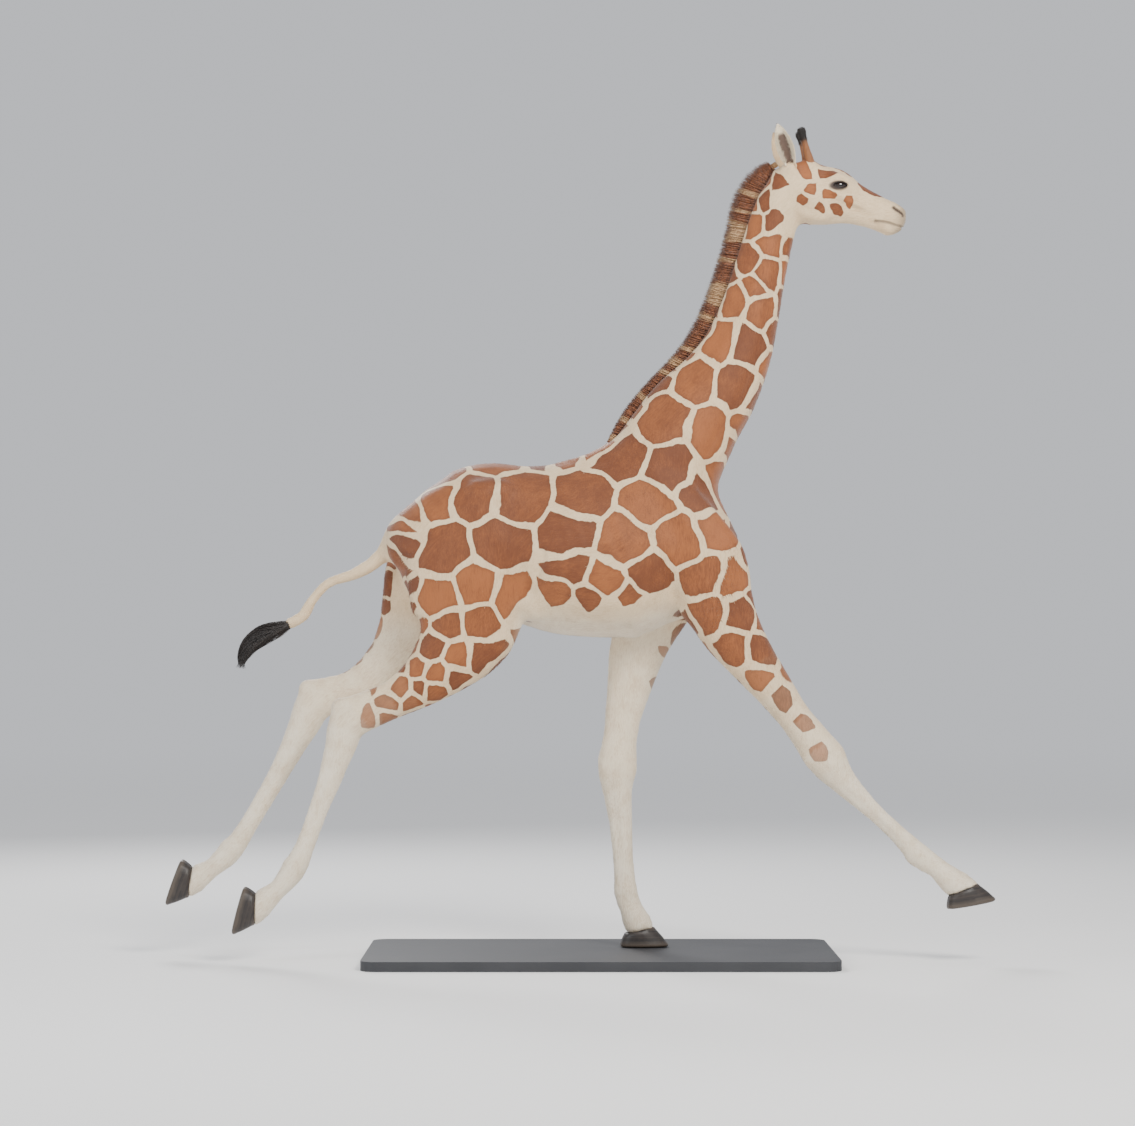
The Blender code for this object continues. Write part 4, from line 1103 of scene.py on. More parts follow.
def coat_finish(name, tufted=False):
    """The coat's colours and relief. A tuft carries its root's marking; painted light pales its
    tip.
    """
    finish = Finish(
        name, Roughness=0.62, Specular_IOR_Level=0.35, Sheen_Weight=0.25, Sheen_Roughness=0.45
    )
    place = finish.place()
    depth = finish.value("patch_depth") if tufted else depth_from_centres(finish)
    hair = streaks(finish, place, 480.0, 0.07)
    broad = streaks(finish, place, 110.0, 0.14)
    fray = (finish.noise(place, 420.0) - 0.5) * 0.0035 + (hair - 0.5) * 0.003
    patch = finish.step(depth + fray, -0.0012, 0.0012)
    mottle = finish.noise(place, 14.0, detail=4.0)
    tone = finish.value("patch_tone") * 0.55 + mottle * 0.55
    tone = tone + (hair - 0.5) * 0.9 + (broad - 0.5) * 0.5
    brown = finish.mixed(finish.step(tone, 0.15, 0.95), PATCH_DARK, PATCH_LIGHT)
    brown = finish.mixed(finish.step(depth, 0.020, 0.0) * 0.35, brown, PATCH_RIM)
    pale = finish.value("pale")
    ground = finish.mixed(pale, CREAM, CREAM_PALE)
    shadow = finish.step(hair * 0.55 + broad * 0.2 + mottle * 0.25, 0.58, 0.36) * 0.55
    ground = finish.mixed(shadow, ground, CREAM_SHADOW)
    colour = finish.mixed(patch * (1.0 - pale * 0.35), ground, brown)
    colour = finish.mixed(finish.value("bare"), colour, BARE_SKIN)
    if tufted:
        # Painted highlight: each tuft turns paler towards its tip, as if lit there
        tip = finish.step(finish.value("end"), 0.5, 1.0)
        colour = finish.mixed(tip * 0.18, colour, CREAM_PALE)
    finish.feed(Base_Color=colour, Normal=finish.bump(hair * 0.5 + broad * 0.5, 0.7, 0.004))
    return finish.material


skin.data.materials.append(coat_finish("patched_hide"))

# ---- Eyes ----
# Glass eyes as a museum model has them: a dark brown iris with a level oval pupil under a
# clear bulge, set in the almond between thick dark lids, with long lashes above.

IRIS_REACH, CORNEA_HEIGHT, PUPIL_SHAPE = 0.0190, 0.0012, (0.62, 1.0, 0.0)
LID_REACH = EYE_BALL + 0.0022
LID_THICK, LID_DEEP = 0.0027, 0.0020


def primitive(make, name, **settings):
    """Adds a mesh primitive, with nothing else selected, and names it."""
    bpy.ops.object.select_all(action="DESELECT")
    make(**settings)
    piece = bpy.context.active_object
    piece.name = name
    bpy.ops.object.transform_apply(location=True, rotation=True, scale=True)
    return piece


def eye_finish():
    finish = Finish("glass_eye", Roughness=0.06, Coat_Weight=1.0, Coat_Roughness=0.02, IOR=1.45)
    gaze = finish.value("gaze", "Vector")
    scaled = finish.vector_math("MULTIPLY", gaze, (1.0, 1.0, 0.0))
    reach = finish.vector_math("LENGTH", scaled, output="Value")
    flat = finish.vector_math("MULTIPLY", gaze, PUPIL_SHAPE)
    pupil = finish.vector_math("LENGTH", flat, output="Value")
    fibre = finish.noise(finish.vector_math("NORMALIZE", scaled), 9.0, detail=5.0)
    iris = finish.mixed(finish.step(fibre, 0.35, 0.7), shade(38, 21, 13), shade(78, 45, 26))
    iris = finish.mixed(finish.step(reach, 0.0125, 0.0190), iris, shade(20, 14, 12))
    iris = finish.mixed(finish.step(pupil, 0.0092, 0.0078), iris, shade(6, 5, 6))
    white = finish.mixed(finish.step(reach, 0.0195, 0.0240), iris, shade(50, 36, 30))
    finish.feed(Base_Color=white)
    return finish.material


def lid_finish():
    finish = Finish("lid_skin", Roughness=0.42, Specular_IOR_Level=0.5)
    place = finish.place()
    grain = finish.noise(place, 900.0, detail=3.0)
    finish.feed(
        Base_Color=finish.mixed(grain, shade(26, 21, 20), shade(54, 44, 39)),
        Normal=finish.bump(grain, 0.4, 0.0006),
    )
    return finish.material


eye_glass, lid_skin = eye_finish(), lid_finish()
for side_name, side_sign in SIDES.items():
    outward, slit, lift = eye_axes(side_sign)
    ball = primitive(
        bpy.ops.mesh.primitive_uv_sphere_add, "eyeball_" + side_name,
        segments=64, ring_count=40, radius=EYE_BALL, location=EYES[side_sign],
    )
    points = points_of(ball.data)
    away = stretched(points - EYES[side_sign], slit, EYE_STRETCH)
    gaze = np.stack([away @ slit, away @ lift, away @ outward], axis=1)
    bulge = smoothstep(IRIS_REACH, IRIS_REACH * 0.5, np.hypot(gaze[:, 0], gaze[:, 1]))
    bulge *= gaze[:, 2] > 0
    place_points(ball.data, EYES[side_sign] + away + np.outer(bulge, outward) * CORNEA_HEIGHT)
    keep_value(ball.data, "gaze", gaze)
    ball.data.shade_smooth()
    ball.data.materials.append(eye_glass)
    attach(ball, "root")
    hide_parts("eye_" + side_name)

    rim = primitive(
        bpy.ops.mesh.primitive_torus_add, "lids_" + side_name,
        major_segments=96, minor_segments=10, major_radius=1.0, minor_radius=0.25,
    )
    ring = points_of(rim.data)
    turn = np.arctan2(ring[:, 1], ring[:, 0])
    out_share, deep_share = (np.hypot(ring[:, 0], ring[:, 1]) - 1.0) / 0.25, ring[:, 2] / 0.25
    t = np.cos(turn)
    top, bottom = almond_edge(t)
    thick = np.where(turn > 0, 1.25, 0.85) * (0.75 + 0.25 * np.abs(np.sin(turn)))
    edge = np.stack([t * ALMOND_HALF, np.where(turn > 0, top, bottom)], axis=1)
    spread = edge / np.linalg.norm(edge, axis=1)[:, None]
    flat = edge + spread * (out_share * LID_THICK * thick + 0.0008)[:, None]
    reach = LID_REACH + deep_share * LID_DEEP
    ahead_of_eye = np.sqrt(np.maximum(reach**2 - (flat**2).sum(axis=1), 1e-6))
    away = np.outer(flat[:, 0] * EYE_STRETCH, slit) + np.outer(flat[:, 1], lift)
    place_points(rim.data, EYES[side_sign] + away + np.outer(ahead_of_eye, outward))
    with edit_mode(rim):
        bpy.ops.mesh.select_all(action="SELECT")
        bpy.ops.mesh.normals_make_consistent(inside=False)
    rim.data.shade_smooth()
    rim.data.materials.append(lid_skin)
    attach(rim, "root")

# ---- Coat tufts ----
# The short coat is mostly relief in the hide, under a light cover of flat tufts. Longer ones
# stand off where the coat breaks the form: throat, breast, spine, belly, jaw, the backs of the
# legs and the coronets.

TUFT_PATCH = 0.003
# How far a flat tuft's own slope shows in its shading
OWN_SHARE = 0.45


def unit(vectors):
    return vectors / np.maximum(np.linalg.norm(vectors, axis=-1, keepdims=True), 1e-9)


def joined_hair(name, shape, root_uv, values, outward=None):
    """One mesh of closed three-sided tufts from the rows of their rings and tips. values are
    given to all of a tuft's vertices, and end runs from 0 at the root to 1 at the tip. With
    outward they are shaded nearly as the hide under them, as a flat coat is."""
    count, per_tuft = shape.shape[:2]
    rings = per_tuft // 3
    faces = [(0, 2, 1)]
    for k in range(rings - 1):
        for i in range(3):
            a, b = k * 3 + i, k * 3 + (i + 1) % 3
            faces += [(a, b, b + 3), (a, b + 3, a + 3)]
    faces += [((rings - 1) * 3 + i, (rings - 1) * 3 + (i + 1) % 3, rings * 3) for i in range(3)]
    faces = np.array(faces)
    every = (faces[None] + (np.arange(count) * per_tuft)[:, None, None]).reshape(-1, 3)
    mesh = bpy.data.meshes.new(name)
    mesh.from_pydata(shape.reshape(-1, 3), [], every.tolist())
    piece = bpy.data.objects.new(name, mesh)
    bpy.context.scene.collection.objects.link(piece)

    ring_uv = [((i % 3) / 2, (i // 3 + 0.3 * (i % 3 == 1)) / rings) for i in range(per_tuft - 1)]
    own_uv = np.array(ring_uv + [(0.5, 1.0)]) * TUFT_PATCH
    corner_uv = (root_uv * (1 - TUFT_PATCH))[:, None, :] + own_uv[faces.ravel()][None]
    mesh.uv_layers.new(name="OFBake").data.foreach_set("uv", corner_uv.ravel())
    keep_value(mesh, "end", np.tile(np.arange(per_tuft) // 3 / rings, count))
    for value_name, value in values.items():
        keep_value(mesh, value_name, np.repeat(value, per_tuft, axis=0))
    mesh.shade_smooth()
    if outward is not None:
        own = normals_of(mesh)
        soft = unit(np.repeat(outward, per_tuft, axis=0) + OWN_SHARE * own)
        mesh.normals_split_custom_set_from_vertices(soft.tolist())
    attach(piece, "root")
    return piece


def place_ring(shape, k, spot, across, over):
    """Sets the three corners of each tuft's ring k, or its one tip after the last ring."""
    corners = (spot - across, spot + over, spot + across)
    for i, corner in enumerate(corners[:shape.shape[1] - 3 * k]):
        shape[:, k * 3 + i] = corner


def tufts(
    name, roots, ahead, outward, length, width, rise, fall, rings, root_uv, values, flat=False
):
    """Tufts that taper from root to point. Each leaves the hide at the angle rise and ends at
    the angle fall above it."""
    count = len(roots)
    across = unit(np.cross(ahead, outward))
    first = ahead * np.cos(rise)[:, None] + outward * np.sin(rise)[:, None]
    last = ahead * np.cos(fall)[:, None] + outward * np.sin(fall)[:, None]
    shape = np.empty((count, rings * 3 + 1, 3))
    for k in range(rings + 1):
        u = k / rings
        middle_line = roots + length[:, None] * (u * first + u * u / 2 * (last - first))
        heading = unit(first + u * (last - first))
        over = np.cross(across, heading)
        half = (width / 2 * (1 - u**1.6))[:, None]
        place_ring(shape, k, middle_line, across * half, over * half * 0.7)
    return joined_hair(name, shape, root_uv, values, outward if flat else None)


def spread_over(mesh, density):
    """The corners of a mesh's triangles, and the running total of area times density."""
    mesh.calc_loop_triangles()
    corners = np.empty(len(mesh.loop_triangles) * 3, int)
    mesh.loop_triangles.foreach_get("vertices", corners)
    corners = corners.reshape(-1, 3)
    a, b, c = (points_of(mesh)[corners[:, i]] for i in range(3))
    area = np.linalg.norm(np.cross(b - a, c - a), axis=1) / 2
    return corners, np.cumsum(area * density[corners].mean(axis=1))


def sampled(mesh, density, count, seed):
    """Places on a mesh, more of them where the density of its vertices is higher: a triangle's
    corners and the share of each."""
    corners, chance = spread_over(mesh, density)
    draw = np.random.default_rng(seed)
    chosen = np.searchsorted(chance, draw.uniform(0.0, chance[-1], count))
    root, slide = np.sqrt(draw.uniform(size=count)), draw.uniform(size=count)
    shares = np.stack([1 - root, root * (1 - slide), root * slide], axis=1)
    return corners[chosen], shares


def spread(values, corners, shares):
    """Vertex values at sampled places."""
    picked = values[corners]
    return (picked * (shares if values.ndim == 1 else shares[:, :, None])).sum(axis=1)


def about_run(run, points):
    """Where points lie on an unwrap about a run: their turn round it and how far along it."""
    nearest = np.linalg.norm(points[:, None] - run.points[None], axis=2).argmin(axis=1)
    away = points - run.points[nearest]
    frontward, outward = ((away * way[nearest]).sum(axis=1) for way in (run.front, run.out))
    turn = np.arctan2(frontward, outward)
    step = np.linalg.norm(np.diff(run.points, axis=0), axis=1).mean()
    ahead = (away * run.ahead[nearest]).sum(axis=1) / step
    along = np.clip((nearest + ahead) / len(run.points), 0.0, 1.0)
    return np.stack([turn / (2 * math.pi) + 0.5, along], axis=1)


# Where the coat breaks the form: along a run between two landmarks at an angle, how far to
# each side, how dense, how long, and how far it stands off
Ridge = namedtuple("Ridge", "run start end angle reach density length rise")
BODY_RIDGES = [
    Ridge("neck", 0.3, 4.9, -90, 0.055, 1.0, 0.015, 14.0),
    Ridge("trunk", 3.5, 4.0, -60, 0.090, 1.0, 0.022, 14.0),
    Ridge("trunk", 1.0, 3.6, -90, 0.055, 0.9, 0.020, 14.0),
    Ridge("trunk", 0.1, 3.4, 90, 0.040, 0.9, 0.018, 12.0),
    Ridge("head", 0.2, 1.0, -90, 0.030, 0.9, 0.011, 14.0),
]
LEG_RIDGES = {
    "front": [
        Ridge("", 1.9, 3.7, -86, 0.040, 1.0, 0.019, 14.0),
        Ridge("", 5.3, 6.6, -90, 0.030, 0.9, 0.014, 18.0),
        Ridge("", 1.2, 2.2, 150, 0.060, 0.8, 0.022, 12.0),
        Ridge("", 3.7, 4.3, -88, 0.030, 0.7, 0.014, 16.0),
    ],
    "hind": [
        Ridge("", 0.8, 3.0, -88, 0.050, 1.0, 0.020, 14.0),
        Ridge("", 3.0, 4.2, -86, 0.030, 1.0, 0.016, 16.0),
        Ridge("", 5.3, 6.6, -90, 0.030, 0.9, 0.014, 18.0),
        Ridge("", 1.8, 2.3, 92, 0.060, 0.9, 0.024, 13.0),
    ],
}
CORONET_RIDGES = [
    Ridge("", 7.7, 8.0, 90, 0.050, 1.3, 0.013, 8.0),
    Ridge("", 7.5, 8.0, -90, 0.060, 1.3, 0.015, 12.0),
]
FLAT_DENSITY, FLAT_LENGTH, FLAT_RISE = 0.5, 0.0120, 4.0
FACE_DENSITY, FACE_LENGTH, MOST_SHANK_LENGTH = 0.9, 0.0065, 0.0135
# Tufts for a square metre of density 1, and the most in one piece
TUFTS_PER_METRE, MOST_TUFTS = 20000.0, 16000
COAT_RINGS = 2
TUFT_SEED, STRAY_SEED = 5, 100
# How deep a tuft's root stands, its width as a share of its length and at least, and how far
# its lie and its tone stray
ROOT_DEPTH, TUFT_WIDTH, LEAST_WIDTH = 0.0012, 0.11, 0.0008
LIE_STRAY, TONE_STRAY = 0.22, 0.06

points, normals = points_of(skin.data), normals_of(skin.data)
skin_tree = tree_of(skin.data)
density = np.full(len(points), FLAT_DENSITY)
hair_length = np.full(len(points), FLAT_LENGTH)
hair_rise = np.full(len(points), FLAT_RISE)
ridges = list(BODY_RIDGES)
for leg in LEG_LANDMARKS:
    own_ridges = LEG_RIDGES[leg.split("_")[0]] + CORONET_RIDGES
    ridges += [ridge._replace(run=leg) for ridge in own_ridges]
for ridge in ridges:
    gap = np.full(len(points), FAR)
    for landmark in np.arange(ridge.start, ridge.end, 0.06):
        place = on_skin(skin_tree, RUNS[ridge.run], landmark, ridge.angle)[0]
        gap = np.minimum(gap, np.linalg.norm(points - place, axis=1))
    share = np.exp(-((gap / ridge.reach) ** 2))
    density = np.maximum(density, share * ridge.density)
    hair_length += (ridge.length - hair_length) * share
    hair_rise += (ridge.rise - hair_rise) * share
along, side, up = in_head(points)
on_face = smoothstep(0.02, 0.14, along)
pale, bare = paleness(points), bareness(points)
hair_length += (FACE_LENGTH - hair_length) * on_face * (up > HEAD_UNDERSIDE)
shortened = np.minimum(hair_length, MOST_SHANK_LENGTH)
hair_length += (shortened - hair_length) * near_shanks(points, 0.16, 0.11)
density = np.maximum(density, FACE_DENSITY * on_face * (up > HEAD_UNDERSIDE))
density *= 1 - 0.9 * smoothstep(0.35, 0.8, bare)
density *= smoothstep(0.029, 0.036, from_eye(points))

# Which part of the body each vertex belongs to, by the nearest CAD node
flesh_points, flesh_part = [], []
for node in FLESH:
    found = points_of(frame["nodes"][node].data)
    flesh_points.append(found)
    flesh_part += [node.replace("_leg_upper", "").replace("_leg_lower", "")] * len(found)
flesh_points = np.concatenate(flesh_points)
lookup = KDTree(len(flesh_points))
for i, point in enumerate(flesh_points):
    lookup.insert(point, i)
lookup.balance()
part_of = np.array([flesh_part[lookup.find(point)[1]] for point in points])
for part in ("trunk", "neck"):
    half = np.where(points[:, 1] > 0, part + ".left", part + ".right")
    part_of = np.where(part_of == part, half, part_of)

coat_hair = coat_finish("short_coat_hair", tufted=True)
for number, part in enumerate(sorted(set(part_of))):
    mine = density * (part_of == part)
    weight = mine * (FLAT_LENGTH / hair_length)
    count = int(min(spread_over(skin.data, weight)[1][-1] * TUFTS_PER_METRE, MOST_TUFTS))
    corners, shares = sampled(skin.data, weight, count, TUFT_SEED + number)
    draw = np.random.default_rng(STRAY_SEED + number)
    roots = spread(points, corners, shares)
    outward = unit(spread(normals, corners, shares))
    lie = spread(skin_lie, corners, shares) + LIE_STRAY * draw.normal(size=(count, 3))
    lie = unit(lie - outward * (lie * outward).sum(axis=1)[:, None])
    length = spread(hair_length, corners, shares) * draw.uniform(0.7, 1.25, count)
    rise = np.radians(spread(hair_rise, corners, shares) * draw.uniform(0.6, 1.5, count) + 3.0)
    fields, patch_tone, line = markings(roots)
    coat = tufts(
        "coat_" + part, roots - outward * ROOT_DEPTH, lie, outward,
        length, length * TUFT_WIDTH + LEAST_WIDTH, rise, rise * 0.15, COAT_RINGS,
        about_run(RUNS[part.split(".")[0]], roots),
        {
            "patch_depth": depth_in_patch(fields, line),
            "patch_tone": patch_tone + draw.normal(0.0, TONE_STRAY, count),
            "pale": spread(pale, corners, shares), "bare": spread(bare, corners, shares),
        },
        flat=True,
    )
    keep_value(coat.data, "lie", np.repeat(lie_shares(lie), COAT_RINGS * 3 + 1, axis=0))
    coat.data.materials.append(coat_hair)

# ---- Lashes ----
# Long stiff lashes that stand out from the upper lid and droop over the eye, in two rows, and
# a short row below.

# How many, from which turn round the slit to which, how long, how thick, and how they bend
LASHES = (
    (58, 14, 166, 0.031, 0.0015, -1.15), (44, 22, 160, 0.024, 0.0013, -0.85),
    (24, -35, -145, 0.009, 0.0009, 0.45),
)
LASH_RINGS, LASH_SEED = 5, 31


def hair_finish(name, dark, light, rough=0.5):
    """Plain hair of one colour, with a little difference between its strands."""
    finish = Finish(name, Roughness=rough, Specular_IOR_Level=0.4, Sheen_Weight=0.15)
    place = finish.place()
    strand = finish.noise(place, 160.0, detail=3.0)
    fine = finish.noise(place, 900.0)
    finish.feed(
        Base_Color=finish.mixed(finish.step(strand, 0.3, 0.7), dark, light),
        Normal=finish.bump(fine, 0.3, 0.001),
    )
    return finish.material


black_hair = hair_finish("black_hair", shade(20, 15, 13), shade(46, 36, 31))
for side_name, side_sign in SIDES.items():
    outward, slit, lift = eye_axes(side_sign)
    draw = np.random.default_rng(LASH_SEED)
    rows = []
    for count, first, last, long, wide, bend in LASHES:
        turn = np.radians(np.linspace(first, last, count) + draw.uniform(-1.5, 1.5, count))
        t = np.cos(turn)
        top, bottom = almond_edge(t)
        height = np.where(turn > 0, top + 0.0015, bottom - 0.002)
        depth_here = np.sqrt(LID_REACH**2 - (t * ALMOND_HALF) ** 2 - height**2) + LID_DEEP * 0.6
        roots = EYES[side_sign] + np.outer(t * ALMOND_HALF * EYE_STRETCH, slit)
        roots = roots + np.outer(height, lift) + np.outer(depth_here, outward)
        upward = 0.25 if first > 0 else -0.4
        ahead = unit(outward + np.outer(t * 0.5 - 0.15, slit) + lift * upward)
        long = long * draw.uniform(0.75, 1.1, count) * (1 - 0.35 * np.abs(t) ** 3)
        rows.append((roots, ahead, long, np.full(count, wide), np.full(count, bend)))
    roots, ahead, long, wide, bend = (np.concatenate(part) for part in zip(*rows))
    upward = unit(np.tile(lift, (len(roots), 1)) - ahead * (ahead @ lift)[:, None])
    lashes = tufts(
        "lashes_" + side_name, roots, ahead, upward, long, wide, np.zeros(len(roots)), bend,
        LASH_RINGS, draw.uniform(0.1, 0.9, (len(roots), 2)), {},
    )
    lashes.data.materials.append(black_hair)

# ---- Ears ----
# Leaf-shaped cups of gristle, each with short hair on its back, a fringe along its rim, and
# long pale hairs that cross the hollow, which is painted dark with shade deep in the cup.

EAR_MESH, EAR_SMOOTHING = 0.0030, 4
# The root's middle and the tip in the head's own axes, the tip to the outside
EAR_ROOT, EAR_TIP = (0.040, 0.098, 0.118), (-0.100, 0.140, 0.285)
EAR_ROOT_REACH = 0.045
EAR_COAT_HAIRS, EAR_FRINGE_HAIRS, HAIR_STRAY = 1900, 900, 0.14
EAR_COAT_SEED, EAR_FRINGE_SEED = 41, 43


def refined(node, piece_name, mesh_size, passes):
    """A smooth fine copy of a CAD node that stands for it."""
    piece = copy_of([node], piece_name)
    modify(piece, "REMESH", mode="VOXEL", voxel_size=mesh_size, use_smooth_shade=True)
    relax(piece.data, np.full(len(piece.data.vertices), 0.5), passes)
    piece.data.shade_smooth()
    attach(piece, "root")
    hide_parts(node)
    return piece


def leant_hair(finish, place, lean, thin, scale):
    """Noise drawn out along a piece that leans back from upright."""
    leant = finish.add("ShaderNodeMapping", {}, place, (0, 0, 0), (0, lean, 0), (1, 1, thin))
    return finish.noise(leant, scale)


def ear_finish():
    finish = Finish("ear_hide", Roughness=0.65, Specular_IOR_Level=0.3, Sheen_Weight=0.3)
    hair = leant_hair(finish, finish.place(), -0.35, 0.12, 300.0)
    back = finish.mixed(hair, shade(190, 152, 108), shade(228, 204, 166))
    tip = finish.step(finish.value("to_tip"), 0.80, 1.0)
    back = finish.mixed(tip * 0.5, back, shade(112, 72, 46))
    rim = finish.mixed(hair, shade(206, 184, 150), shade(240, 228, 204))
    # Painted shade: the hollow turns dark greyish-brown deep in the cup, where shade falls
    shaded_hollow = finish.mixed(hair, shade(62, 48, 42), shade(112, 90, 76))
    inner = finish.mixed(finish.step(finish.value("hollow"), 1.25, 1.75), rim, shaded_hollow)
    finish.feed(
        Base_Color=finish.mixed(finish.step(finish.value("hollow"), 0.35, 0.65), back, inner),
        Normal=finish.bump(hair, 0.5, 0.002),
    )
    return finish.material


def own_axis(root, tip, side_sign):
    """Where a piece of the head stands, the way to its tip and how far that is."""
    at, end = (head_place(along, side_sign * side, up) for along, side, up in (root, tip))
    reach = np.linalg.norm(end - at)
    return at, (end - at) / reach, reach


def sunk_root(points, foot, axis, reach, step):
    """Draws the root of a piece on into the hide by a step."""
    return points + np.outer(smoothstep(reach, 0.0, (points - foot) @ axis), step)


def grown(
    name, base, weight, count, length, width, rise, fall, rings, towards, values, finish, seed
):
    """Hair over a base piece. Its lie is towards, and values of the base's vertices go with it."""
    points, normals = points_of(base.data), normals_of(base.data)
    corners, shares = sampled(base.data, weight, count, seed)
    draw = np.random.default_rng(seed)
    roots, outward = spread(points, corners, shares), unit(spread(normals, corners, shares))
    way = towards if towards.ndim == 1 else spread(towards, corners, shares)
    stray = HAIR_STRAY * draw.normal(size=(count, 3))
    lie = unit(way - outward * (outward * way).sum(axis=1)[:, None] + stray)
    low, high = points.min(axis=0), points.max(axis=0)
    place = (roots - low) / (high - low)
    turn = np.arctan2(place[:, 1] - 0.5, place[:, 0] - 0.5) / (2 * math.pi) + 0.5
    hair = tufts(
        name, roots - outward * 0.001, lie, outward,
        spread(length, corners, shares) * draw.uniform(0.6, 1.15, count), np.full(count, width),
        np.radians(rise * draw.uniform(0.6, 1.4, count)), np.radians(np.full(count, fall)), rings,
        np.stack([turn, place[:, 2]], axis=1),
        {key: spread(value, corners, shares) for key, value in values.items()}, flat=rise < 10.0,
    )
    hair.data.materials.append(finish)
    return hair


ear_hide = ear_finish()
pale_hair = hair_finish("pale_ear_hair", shade(204, 184, 150), shade(242, 232, 210), rough=0.6)
for side_name, side_sign in SIDES.items():
    ear = refined("ear_" + side_name, "ear_hide_" + side_name, EAR_MESH, EAR_SMOOTHING)
    root, axis, reach = own_axis(EAR_ROOT, EAR_TIP, side_sign)
    edgewise = unit(HEAD_AHEAD - axis * (HEAD_AHEAD @ axis))
    opening = unit(np.cross(axis, edgewise)) * side_sign
    points, normals = points_of(ear.data), normals_of(ear.data)
    to_tip = np.clip((points - root) @ axis / reach, 0, 1)
    off_middle = np.abs((points - root - np.outer((points - root) @ axis, axis)) @ edgewise)
    stations = np.linspace(0, 1, 21)
    half_width = [off_middle[np.abs(to_tip - station) < 0.06].max() for station in stations]
    across = off_middle / np.interp(to_tip, stations, half_width)
    # 0 on the back, 1 inside its rim and 2 deep in the hollow
    faces_in = smoothstep(-0.1, 0.3, normals @ opening) * smoothstep(0.02, 0.08, to_tip)
    hollow = faces_in * (1 + smoothstep(0.75, 0.35, across) * smoothstep(0.92, 0.6, to_tip))
    keep_value(ear.data, "to_tip", to_tip)
    keep_value(ear.data, "hollow", hollow)
    inward = -LEFTWARD * side_sign * 0.014 - axis * 0.006
    place_points(ear.data, sunk_root(points, root, axis, EAR_ROOT_REACH, inward))
    ear.data.materials.append(ear_hide)
    values = {"to_tip": to_tip, "hollow": hollow}
    over_back = (1 - faces_in) * (to_tip > 0.06)
    in_rim = faces_in * smoothstep(0.55, 0.85, across) * (to_tip > 0.10)
    to_middle = axis * 0.8 - edgewise * np.sign((points - root) @ edgewise)[:, None]
    short, long = np.full(len(points), 0.010), 0.030 - 0.014 * to_tip
    ear_coat = grown(
        "ear_coat_" + side_name, ear, over_back, EAR_COAT_HAIRS, short, 0.0017, 8.0, 2.0, 2,
        axis, values, ear_hide, EAR_COAT_SEED,
    )
    ear_fringe = grown(
        "ear_fringe_" + side_name, ear, in_rim, EAR_FRINGE_HAIRS, long, 0.0011, 26.0, 8.0, 3,
        to_middle, {}, pale_hair, EAR_FRINGE_SEED,
    )

# ---- Horns ----
# Two bony ossicones grown over with hide, thin as a cow's are, each with a tuft of black
# hair on its rounded tip.

HORN_MESH, HORN_SMOOTHING = 0.0032, 5
HORN_FOOT, HORN_TIP = (0.128, 0.050, 0.165), (0.020, 0.062, 0.322)
HORN_FOOT_REACH, HORN_FOOT_DEPTH = 0.050, 0.030
HORN_COAT_HAIRS, HORN_TUFT_HAIRS = 1800, 1300
HORN_COAT_SEED, HORN_TUFT_SEED = 51, 53


def horn_finish():
    finish = Finish("horn_hide", Roughness=0.6, Specular_IOR_Level=0.3, Sheen_Weight=0.25)
    hair = leant_hair(finish, finish.place(), -0.45, 0.14, 320.0)
    brown = finish.mixed(hair, shade(104, 60, 34), shade(160, 106, 64))
    black = finish.mixed(hair, shade(20, 15, 13), shade(48, 37, 31))
    height = finish.value("to_tip") + (hair - 0.5) * 0.25
    finish.feed(
        Base_Color=finish.mixed(finish.step(height, 0.50, 0.72), brown, black),
        Normal=finish.bump(hair, 0.5, 0.002),
    )
    return finish.material


horn_hide = horn_finish()
for side_name, side_sign in SIDES.items():
    horn = refined("ossicone_" + side_name, "horn_" + side_name, HORN_MESH, HORN_SMOOTHING)
    foot, axis, reach = own_axis(HORN_FOOT, HORN_TIP, side_sign)
    points, normals = points_of(horn.data), normals_of(horn.data)
    to_tip = np.clip((points - foot) @ axis / reach, 0, 1)
    points = points - normals * (0.0010 + 0.0025 * smoothstep(0.55, 0.8, to_tip))[:, None]
    down = -axis * HORN_FOOT_DEPTH
    place_points(horn.data, sunk_root(points, foot, axis, HORN_FOOT_REACH, down))
    keep_value(horn.data, "to_tip", to_tip)
    horn.data.materials.append(horn_hide)
    below, above = smoothstep(0.70, 0.60, to_tip), smoothstep(0.56, 0.70, to_tip)
    short, long = np.full(len(points), 0.009), 0.018 - 0.008 * smoothstep(0.85, 1.0, to_tip)
    coat = grown(
        "horn_coat_" + side_name, horn, below, HORN_COAT_HAIRS, short, 0.0015, 8.0, 2.0, 2,
        axis, {"to_tip": to_tip}, horn_hide, HORN_COAT_SEED,
    )
    cap = grown(
        "horn_tuft_" + side_name, horn, above, HORN_TUFT_HAIRS, long, 0.0016, 24.0, 4.0, 3,
        axis, {}, black_hair, HORN_TUFT_SEED,
    )

# ---- Mane ----
# A crest of short stiff upright hair from the poll to the withers, brown where it grows out
# of a patch and paler between, over a low bed that closes it between the locks.

MANE_LANDMARKS = NECK_LANDMARKS + [(1.05, 3.93)]
MANE_LOCKS, LOCK_RINGS, MANE_SEED = 4200, 3, 61
MANE_HALF, LOCK_WIDTH, LEAST_LOCK, LOCK_DEPTH = 0.016, 0.0075, 0.012, 0.004
# The bed's mesh, and how high and wide it is as a share of the mane
BED_MESH, BED_SMOOTHING, BED_HEIGHT, BED_WIDTH = 0.007, 3, 0.55, 0.62


